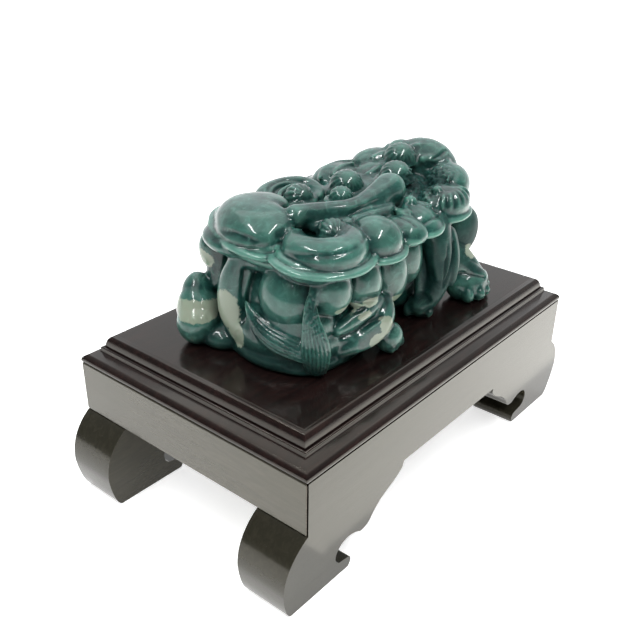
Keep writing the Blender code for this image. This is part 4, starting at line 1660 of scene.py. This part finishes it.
@dataclass
class Carving:
    """The jade pixiu: every form melted into one skin, then cut, eased and polished."""

    seat: float = 40.7
    voxel: float = 0.3
    face_limit: int = 188_000
    ease_rounds: int = 6
    hand_waves: tuple[Triple, ...] = ((9.0, 0.0, 0.1), (3.4, 2.0, 0.035))
    sections: list[Section] = field(default_factory=lambda: [
        CrouchedBody(), RuyiHead(), RuyiStem(), CloudLobes(), PixiuHead(), Flank(Side.RIGHT, 18.6),
        Flank(Side.LEFT, 15.0), Rump(),
    ])

    def _melt(self, forms: Sequence[Form]) -> bpy.types.Object:
        """Join the forms into one closed skin.

        Args:
            forms: every form.

        Returns:
            The skin's object, in millimetres.
        """
        points: list[np.ndarray] = []
        faces: list[tuple[int, ...]] = []
        start = 0
        for form in forms:
            shell, shell_faces = form.shell()
            points.append(shell)
            faces += [tuple(start + corner for corner in face) for face in shell_faces]
            start += len(shell)
        mesh = bpy.data.meshes.new("jade_carving")
        mesh.from_pydata(np.vstack(points).tolist(), [], faces)
        thing = link("jade_carving", mesh)
        melt = thing.modifiers.new("melt", "REMESH")
        melt.mode = "VOXEL"
        melt.voxel_size = self.voxel
        bake(thing)
        return thing

    @staticmethod
    def _keep_skin(mesh: bpy.types.Mesh) -> None:
        """Leave the outer skin and cut it flat underneath.

        Args:
            mesh: the melted mesh.
        """
        work = bmesh.new()
        work.from_mesh(mesh)
        seen: set[bmesh.types.BMVert] = set()
        runs = []
        for first in work.verts:
            if first in seen:
                continue
            seen.add(first)
            run = [first]
            for vertex in run:
                for edge in vertex.link_edges:
                    other = edge.other_vert(vertex)
                    if other not in seen:
                        seen.add(other)
                        run.append(other)
            runs.append(run)
        runs.sort(key=len)
        for run in runs[:-1]:
            bmesh.ops.delete(work, geom=run, context="VERTS")
        every = work.verts[:] + work.edges[:] + work.faces[:]
        bmesh.ops.bisect_plane(work, geom=every, plane_co=(0, 0, 0), plane_no=(0, 0, 1), clear_inner=True)
        rim = [edge for edge in work.edges if edge.is_boundary]
        bmesh.ops.contextual_create(work, geom=rim)
        bmesh.ops.recalc_face_normals(work, faces=work.faces)
        work.to_mesh(mesh)
        work.free()

    def _work(self, skin: Skin, forms: Sequence[Form]) -> None:
        """Ease the skin, then cut ribs, hair, lines and flats into it.

        Args:
            skin: the skin.
            forms: every form.
        """
        skin.points = skin.ease(self.ease_rounds)
        owner, clear = skin.owners(forms)
        share = ease_between(clear, 0.05, 0.45)
        amount = np.zeros(skin.count)
        for number, form in enumerate(forms):
            mine = np.nonzero(owner == number)[0]
            if form.relief is not None and len(mine):
                amount[mine] = form.relief.amount(form, skin.points[mine]) * share[mine]
        skin.push(amount)
        for section in self.sections:
            for cut in section.cuts():
                cut.apply(skin)
        skin.push(sum(swell(skin.points, pitch, turn) * depth for pitch, turn, depth in self.hand_waves))
        skin.points = skin.ease(1)
        skin.points[:, 2] = np.maximum(skin.points[:, 2], 0)
        skin.store()

    def _paint(self, thing: bpy.types.Object, forms: Sequence[Form]) -> None:
        """Mark painted light on lips and crests, painted shade in hollows and shaded patches, and the cream
        patches, for the stone's material.

        Args:
            thing: the finished carving, still in millimetres.
            forms: every form.
        """
        skin = Skin(thing.data)
        owner, clear = skin.owners(forms)
        share = ease_between(clear, 0.0, 0.4)
        lips = np.array([form.tone is Tone.LIP for form in forms])
        # The bend from the smoothed skin sets painted highlights on crests and painted shade in hollows;
        # lips get painted light through the thin stone.
        bent = ((skin.points - skin.ease(12, 0.6)) * skin.normals()).sum(1)
        skin.paint("lip", lips[owner] * share * 0.8)
        skin.paint("painted_crest_highlight", ease_between(bent, 0.03, 0.28))
        skin.paint("painted_hollow_shade", ease_between(-bent, 0.03, 0.3))
        # Cream patches are the stone's own colour; the other patches are painted shade.
        for name in ("cream", "painted_shade"):
            marks = np.zeros(skin.count)
            for section in self.sections:
                for patch in getattr(section, name)():
                    marks = np.maximum(marks, patch.share(skin.points))
            skin.paint(name, marks if name == "cream" else ease_between(marks, 0.4, 0.8))

    def build(self, finish: JadeFinish) -> bpy.types.Object:
        """Carve and polish the jade.

        Args:
            finish: the stone's finish.

        Returns:
            The finished piece.
        """
        forms = [form for section in self.sections for form in section.forms()]
        thing = self._melt(forms)
        self._keep_skin(thing.data)
        self._work(Skin(thing.data), forms)
        tris = sum(len(face.vertices) - 2 for face in thing.data.polygons)
        if tris > self.face_limit:
            thin = thing.modifiers.new("thin", "DECIMATE")
            thin.ratio = self.face_limit / tris
            bake(thing)
        self._paint(thing, forms)
        thing.data.transform(Matrix.Translation((0, 0, self.seat * MM)) @ Matrix.Scale(MM, 4))
        thing.data.shade_smooth()
        thing.data.materials.clear()
        thing.data.materials.append(finish.material())
        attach(thing, "root")
        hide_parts("jade_pixiu")
        log.info("%s: %d forms, %d triangles", thing.name, len(forms), tris)
        return thing


# The stand


@dataclass
class Stand:
    """The lacquered stand: moulded top, two side rails with scroll feet and two mitred end aprons."""

    length: float = 108.0
    width: float = 71.0
    plate_top: float = 40.4
    board_seat: float = 33.5
    apron_bottom: float = 20.2
    foot_reach: float = 60.0
    rail_thick: float = 14.0
    apron_thick: float = 6.0
    moulding: float = 6.3
    foot_draft: float = 1.6
    joint: float = 0.3
    edge: float = 0.4
    sharp: float = 32.0
    moulding_sharp: float = 34.0
    small_face: float = 4.0
    rub: float = 0.8

    @staticmethod
    def _curve(start: Pair, pull_start: Pair, pull_end: Pair, end: Pair, count: int) -> list[Pair]:
        """Points along a cubic curve, the start left out.

        Args:
            start: where it starts.
            pull_start: what its start bends to.
            pull_end: what its end bends to.
            end: where it ends.
            count: how many points.

        Returns:
            The points.
        """
        points = []
        for i in range(1, count + 1):
            t = i / count
            weights = ((1 - t)**3, 3 * (1 - t)**2 * t, 3 * (1 - t) * t * t, t**3)
            ends = (start, pull_start, pull_end, end)
            points.append(tuple(sum(w * e[k] for w, e in zip(weights, ends)) for k in (0, 1)))
        return points

    def _half_rail(self) -> list[Pair]:
        """Outline from the middle of the lower edge round the scroll foot to the top corner.

        Returns:
            Points as X and height.
        """
        mid = self.apron_bottom
        toe, heel = self.foot_reach * 0.625, self.foot_reach * 0.957
        brow, cusp, throat = self.foot_reach * 0.335, self.foot_reach * 0.57, self.foot_reach * 0.717
        half = self.length / 2
        line = [(0.0, mid), (brow, mid), (brow + 0.3, mid - 1.6)]
        line += self._curve(line[-1], (brow + 3, mid - 5), (cusp - 7, mid - 4.6), (cusp - 3.6, mid - 9.4),
                            14)
        line += self._curve(line[-1], (cusp - 2.8, mid - 11.2), (cusp - 1.6, mid - 11.8),
                            (cusp + 0.4, mid - 11.7), 8)
        line += self._curve(line[-1], (cusp + 3.4, mid - 9.6), (throat - 1.2, mid - 9.2),
                            (throat, mid - 13.4), 14)
        line += self._curve(line[-1], (throat, mid - 15.2), (throat - 0.5, mid - 16),
                            (throat - 1.6, mid - 16.4), 6)
        line.append((toe + 0.5, mid - 17))
        line += self._curve(line[-1], (toe - 0.6, mid - 17.3), (toe - 0.7, 1.2), (toe + 0.3, 0), 8)
        line.append((heel - 0.6, 0.0))
        line += self._curve(line[-1], (heel + 0.6, 0), (self.foot_reach - 0.6, 3.2),
                            (self.foot_reach, mid * 0.42), 12)
        line += self._curve(line[-1], (self.foot_reach + 0.1, mid * 0.66),
                            (self.foot_reach - 2, mid * 0.86), (half - 0.2, mid), 16)
        return line + [(half, mid + 0.1), (half, self.board_seat)]

    def _soften(self, thing: bpy.types.Object, width: float) -> None:
        """Ease a piece's corners, keep its flats flat, and mark where the lacquer is rubbed.

        Args:
            thing: the piece.
            width: radius of its corners.
        """
        mesh = thing.data
        mesh.shade_smooth()
        mesh.set_sharp_from_angle(angle=radians(self.sharp))
        ease = thing.modifiers.new("ease", "BEVEL")
        ease.width = width * MM
        ease.segments = 3
        ease.limit_method = "ANGLE"
        ease.angle_limit = radians(self.sharp)
        ease.harden_normals = True
        bake(thing)
        mesh = thing.data
        area = np.zeros(len(mesh.vertices))
        for face in mesh.polygons:
            for corner in face.vertices:
                area[corner] = max(area[corner], face.area)
        marks = mesh.attributes.new("edge", "FLOAT", "POINT")
        marks.data.foreach_set("value", (area < self.small_face * MM**2).astype(np.float32) * self.rub)

    def rail(self, side: Side, finish: bpy.types.Material) -> bpy.types.Object:
        """Apron board and both scroll feet cut from one piece.

        Args:
            side: which long side.
            finish: its lacquer.

        Returns:
            The piece.
        """
        right = self._half_rail()
        outline = right[1:] + [(-x, z) for x, z in reversed(right[1:])]
        work = bmesh.new()
        sign = side.value
        loops = []
        for depth in (self.width / 2 - self.rail_thick, self.width / 2):
            loops.append([work.verts.new((x, sign * depth, z)) for x, z in outline])
        for i in range(len(outline)):
            after = (i + 1) % len(outline)
            work.faces.new((loops[0][i], loops[0][after], loops[1][after], loops[1][i]))
        work.faces.new(loops[0])
        work.faces.new(loops[1])
        for vertex in loops[1]:
            if vertex.co.z < self.apron_bottom:
                vertex.co.y -= sign * self.foot_draft * (1 - vertex.co.z / self.apron_bottom)
        bmesh.ops.recalc_face_normals(work, faces=work.faces)
        name = f"rail_{side.name.lower()}_lacquered"
        mesh = bpy.data.meshes.new(name)
        work.to_mesh(mesh)
        work.free()
        mesh.transform(Matrix.Scale(MM, 4))
        rail = link(name, mesh, finish)
        for end in End:
            cutter = link("mitre", self._end_board(end, self.joint))
            cut = rail.modifiers.new("mitre", "BOOLEAN")
            cut.operation = "DIFFERENCE"
            cut.solver = "EXACT"
            cut.object = cutter
            bake(rail)
            bpy.data.objects.remove(cutter, do_unlink=True)
        self._soften(rail, self.edge)
        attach(rail, "root")
        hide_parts(f"side_rail_{side.name.lower()}")
        log.info("%s: %d faces", name, len(rail.data.polygons))
        return rail

    def _end_board(self, end: End, grow: float) -> bpy.types.Mesh:
        """A short end board with mitred ends, or the room it needs in the rails.

        Args:
            end: which end of the stand.
            grow: clearance round it, or 0 for the board itself.

        Returns:
            Its mesh, in metres.
        """
        spare = 4.0 if grow else 0.0
        outer, inner = self.length / 2 + spare, self.length / 2 - self.apron_thick - grow
        outer_half = self.width / 2 + spare + grow * 1.4
        inner_half = self.width / 2 - self.apron_thick + grow * 0.4
        low = self.apron_bottom + (0 if grow else self.joint)
        high = self.board_seat + spare
        work = bmesh.new()
        bmesh.ops.create_cube(work, size=2)
        for vertex in work.verts:
            out = vertex.co.x * end.value > 0
            vertex.co.x = end.value * (outer if out else inner)
            vertex.co.y *= outer_half if out else inner_half
            vertex.co.z = high if vertex.co.z > 0 else low
        mesh = bpy.data.meshes.new("end_board")
        work.to_mesh(mesh)
        work.free()
        mesh.transform(Matrix.Scale(MM, 4))
        return mesh

    def apron(self, end: End, finish: bpy.types.Material) -> bpy.types.Object:
        """One short apron.

        Args:
            end: which end of the stand.
            finish: its lacquer.

        Returns:
            The piece.
        """
        name = f"apron_{end.name.lower()}_lacquered"
        board = link(name, self._end_board(end, 0.0), finish)
        self._soften(board, self.edge * 0.8)
        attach(board, "root")
        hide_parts(f"end_apron_{end.name.lower()}")
        log.info("%s: %d faces", name, len(board.data.polygons))
        return board

    def _moulding(self) -> list[Pair]:
        """Inset and height of each line of the moulded edge.

        Returns:
            The lines from the bottom up.
        """
        low = self.board_seat + self.joint
        rise = self.plate_top - low
        wide = self.moulding
        line = [(0.25, low), (0.07, low + 0.07), (0.0, low + 0.3)]
        line += self._curve(line[-1], (0, low + rise * 0.2), (wide * 0.16, low + rise * 0.27),
                            (wide * 0.52, low + rise * 0.38), 12)
        line.append((wide * 0.545, low + rise * 0.42))
        line.append((wide * 0.55, low + rise * 0.5))
        line += self._curve(line[-1], (wide * 0.55, low + rise * 0.6), (wide * 0.66, low + rise * 0.6),
                            (wide * 0.67, low + rise * 0.52), 8)
        line += self._curve(line[-1], (wide * 0.7, low + rise * 0.8), (wide * 0.78, low + rise * 0.97),
                            (wide * 0.97, low + rise * 0.985), 12)
        return line + [(wide, self.plate_top), (wide + 0.3, self.plate_top)]

    def top(self, finish: bpy.types.Material) -> bpy.types.Object:
        """The moulded board that the carving rests on.

        Args:
            finish: its lacquer.

        Returns:
            The piece.
        """
        name = "stand_top_lacquered"
        half_length, half_width = self.length / 2, self.width / 2
        work = bmesh.new()
        rings = []
        for inset, height in self._moulding():
            x, y = half_length - inset, half_width - inset
            corners = [(x, y), (-x, y), (-x, -y), (x, -y)]
            rings.append([work.verts.new((a, b, height)) for a, b in corners])
        for low, high in zip(rings, rings[1:]):
            for k in range(4):
                after = (k + 1) % 4
                work.faces.new((low[k], low[after], high[after], high[k]))
        work.faces.new(rings[0])
        work.faces.new(rings[-1])
        bmesh.ops.recalc_face_normals(work, faces=work.faces)
        mesh = bpy.data.meshes.new(name)
        work.to_mesh(mesh)
        work.free()
        mesh.transform(Matrix.Scale(MM, 4))
        mesh.shade_smooth()
        mesh.set_sharp_from_angle(angle=radians(self.moulding_sharp))
        board = link(name, mesh, finish)
        marks = mesh.attributes.new("edge", "FLOAT", "POINT")
        marks.data.foreach_set("value", np.zeros(len(mesh.vertices), np.float32))
        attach(board, "root")
        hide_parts("stand_top")
        log.info("%s: %d faces", name, len(board.data.polygons))
        return board

    def build(self) -> None:
        """Make every wooden piece and dress it."""
        # Rail and apron share the board's lacquer but get a lighter olive ground and grain: partly the
        # wood's tone, partly painted reflection of the pale table. The apron's, the lightest, is mostly
        # painted reflected light.
        rail = LacquerFinish("lacquered_rail", (0.020, 0.019, 0.013), (0.032, 0.029, 0.020)).material()
        apron = LacquerFinish("lacquered_apron", (0.040, 0.038, 0.028), (0.060, 0.054, 0.040),
                              grain_run=(1.0, 0.12, 1.0), shine=0.6).material()
        board = LacquerFinish("lacquered_board", (0.007, 0.004, 0.004), (0.020, 0.009, 0.008),
                              (0.11, 0.10, 0.085)).material()
        for side in Side:
            self.rail(side, rail)
        for end in End:
            self.apron(end, apron)
        self.top(board)


# Studio


@dataclass
class Studio:
    """Pale table, soft lights and the camera."""

    lens: float = 47.32
    aim: Triple = (-1.662, 2.827, 30.885)
    distance: float = 219.526
    azimuth: float = -51.043
    elevation: float = 28.701
    roll: float = 1.193
    shift: Pair = (-0.01036, 0.02519)
    bright_way: Triple = (0.74, 0.6, -0.1)
    room: tuple[float, float, float, float] = (-0.2, 0.8, 0.1, 1.0)
    room_colour: Colour = (0.96, 0.98, 1.0)
    warm: Colour = (1.0, 0.97, 0.86)
    film: float = 36.0
    near: float = 1.0
    table_reach: float = 4000.0
    ceiling_size: Pair = (1100.0, 1100.0)
    ceiling_watts: float = 4.2
    strip_height: float = 420.0
    strip_size: Pair = (400.0, 30.0)
    strip_watts: float = 1.4
    strip_turn: float = 39.0
    glow_size: Pair = (300.0, 130.0)
    glow_watts: float = 0.12

    def camera(self) -> None:
        """Place the camera at the photograph's viewing angle."""
        az, el, roll = radians(self.azimuth), radians(self.elevation), radians(self.roll)
        back = Vector((sin(az) * cos(el), -cos(az) * cos(el), sin(el)))
        right = Vector((cos(az), sin(az), 0))
        up = back.cross(right)
        right, up = cos(roll) * right + sin(roll) * up, cos(roll) * up - sin(roll) * right
        data = bpy.data.cameras.new("view")
        data.sensor_width = self.film
        data.lens = self.lens
        data.shift_x, data.shift_y = self.shift
        data.clip_start = self.near * MM
        data.dof.use_dof = False
        camera = bpy.data.objects.new("view", data)
        bpy.context.scene.collection.objects.link(camera)
        turn = Matrix((right, up, back)).transposed().to_4x4()
        camera.matrix_world = Matrix.Translation((Vector(self.aim) + back * self.distance) * MM) @ turn
        bpy.context.scene.camera = camera

    def _light(self, name: str, place: Triple, aim: Triple, size: Pair, watts: float,
               spin: float = 0.0, colour: Colour = (1.0, 1.0, 1.0)) -> None:
        """One rectangular soft light.

        Args:
            name: its name.
            place: where it hangs.
            aim: where it points.
            size: its length and width.
            watts: its power.
            spin: its turn about its own axis, in degrees.
            colour: its colour.
        """
        data = bpy.data.lights.new(name, "AREA")
        data.color = colour
        data.shape = "RECTANGLE"
        data.size, data.size_y = size[0] * MM, size[1] * MM
        data.energy = watts
        light = bpy.data.objects.new(name, data)
        bpy.context.scene.collection.objects.link(light)
        away = (Vector(place) - Vector(aim)).to_track_quat("Z", "Y").to_matrix().to_4x4()
        turned = away @ Matrix.Rotation(radians(spin), 4, "Z")
        light.matrix_world = Matrix.Translation(Vector(place) * MM) @ turned

    def _room(self) -> None:
        """A pale room, bright beyond the object and dim on the near side."""
        world = bpy.data.worlds.new("soft_room")
        world.use_nodes = True
        nodes, links = world.node_tree.nodes, world.node_tree.links
        way = nodes.new("ShaderNodeTexCoord")
        dot = nodes.new("ShaderNodeVectorMath")
        dot.operation = "DOT_PRODUCT"
        dot.inputs[1].default_value = self.bright_way
        ease = nodes.new("ShaderNodeMapRange")
        ease.interpolation_type = "SMOOTHSTEP"
        for name, value in zip(("From Min", "From Max", "To Min", "To Max"), self.room):
            ease.inputs[name].default_value = value
        links.new(way.outputs["Generated"], dot.inputs[0])
        links.new(dot.outputs["Value"], ease.inputs["Value"])
        links.new(ease.outputs["Result"], nodes["Background"].inputs["Strength"])
        nodes["Background"].inputs["Color"].default_value = (*self.room_colour, 1.0)
        bpy.context.scene.world = world

    def build(self) -> None:
        """Set up the table, the lights and the view."""
        mesh = bpy.data.meshes.new("table")
        far = self.table_reach * MM
        mesh.from_pydata([(-far, -far, 0), (far, -far, 0), (far, far, 0), (-far, far, 0)], [],
                         [(0, 1, 2, 3)])
        table = link("table", mesh, TableFinish().material())
        self.camera()
        self._light("ceiling", (60, 40, 720), (0, 0, 40), self.ceiling_size, self.ceiling_watts)
        for name, x, y in (("tube_left", -275, 22), ("tube_right", -36, -273)):
            above = (x, y, self.strip_height)
            self._light(name, above, (x, y, 0), self.strip_size, self.strip_watts, self.strip_turn)
        self._light("table_glow", (110, -106, 1), (110, -106, 90), self.glow_size, self.glow_watts, 0,
                    self.warm)
        self._room()
        bpy.context.scene.view_settings.view_transform = "Standard"
        log.info("studio: table, four lights and the view")


def main() -> None:
    """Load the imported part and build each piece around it."""
    logging.basicConfig(level=logging.INFO, format="%(name)s: %(message)s")
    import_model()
    Studio().build()
    Stand().build()
    Carving().build(JadeFinish())


if __name__ == "__main__":
    main()
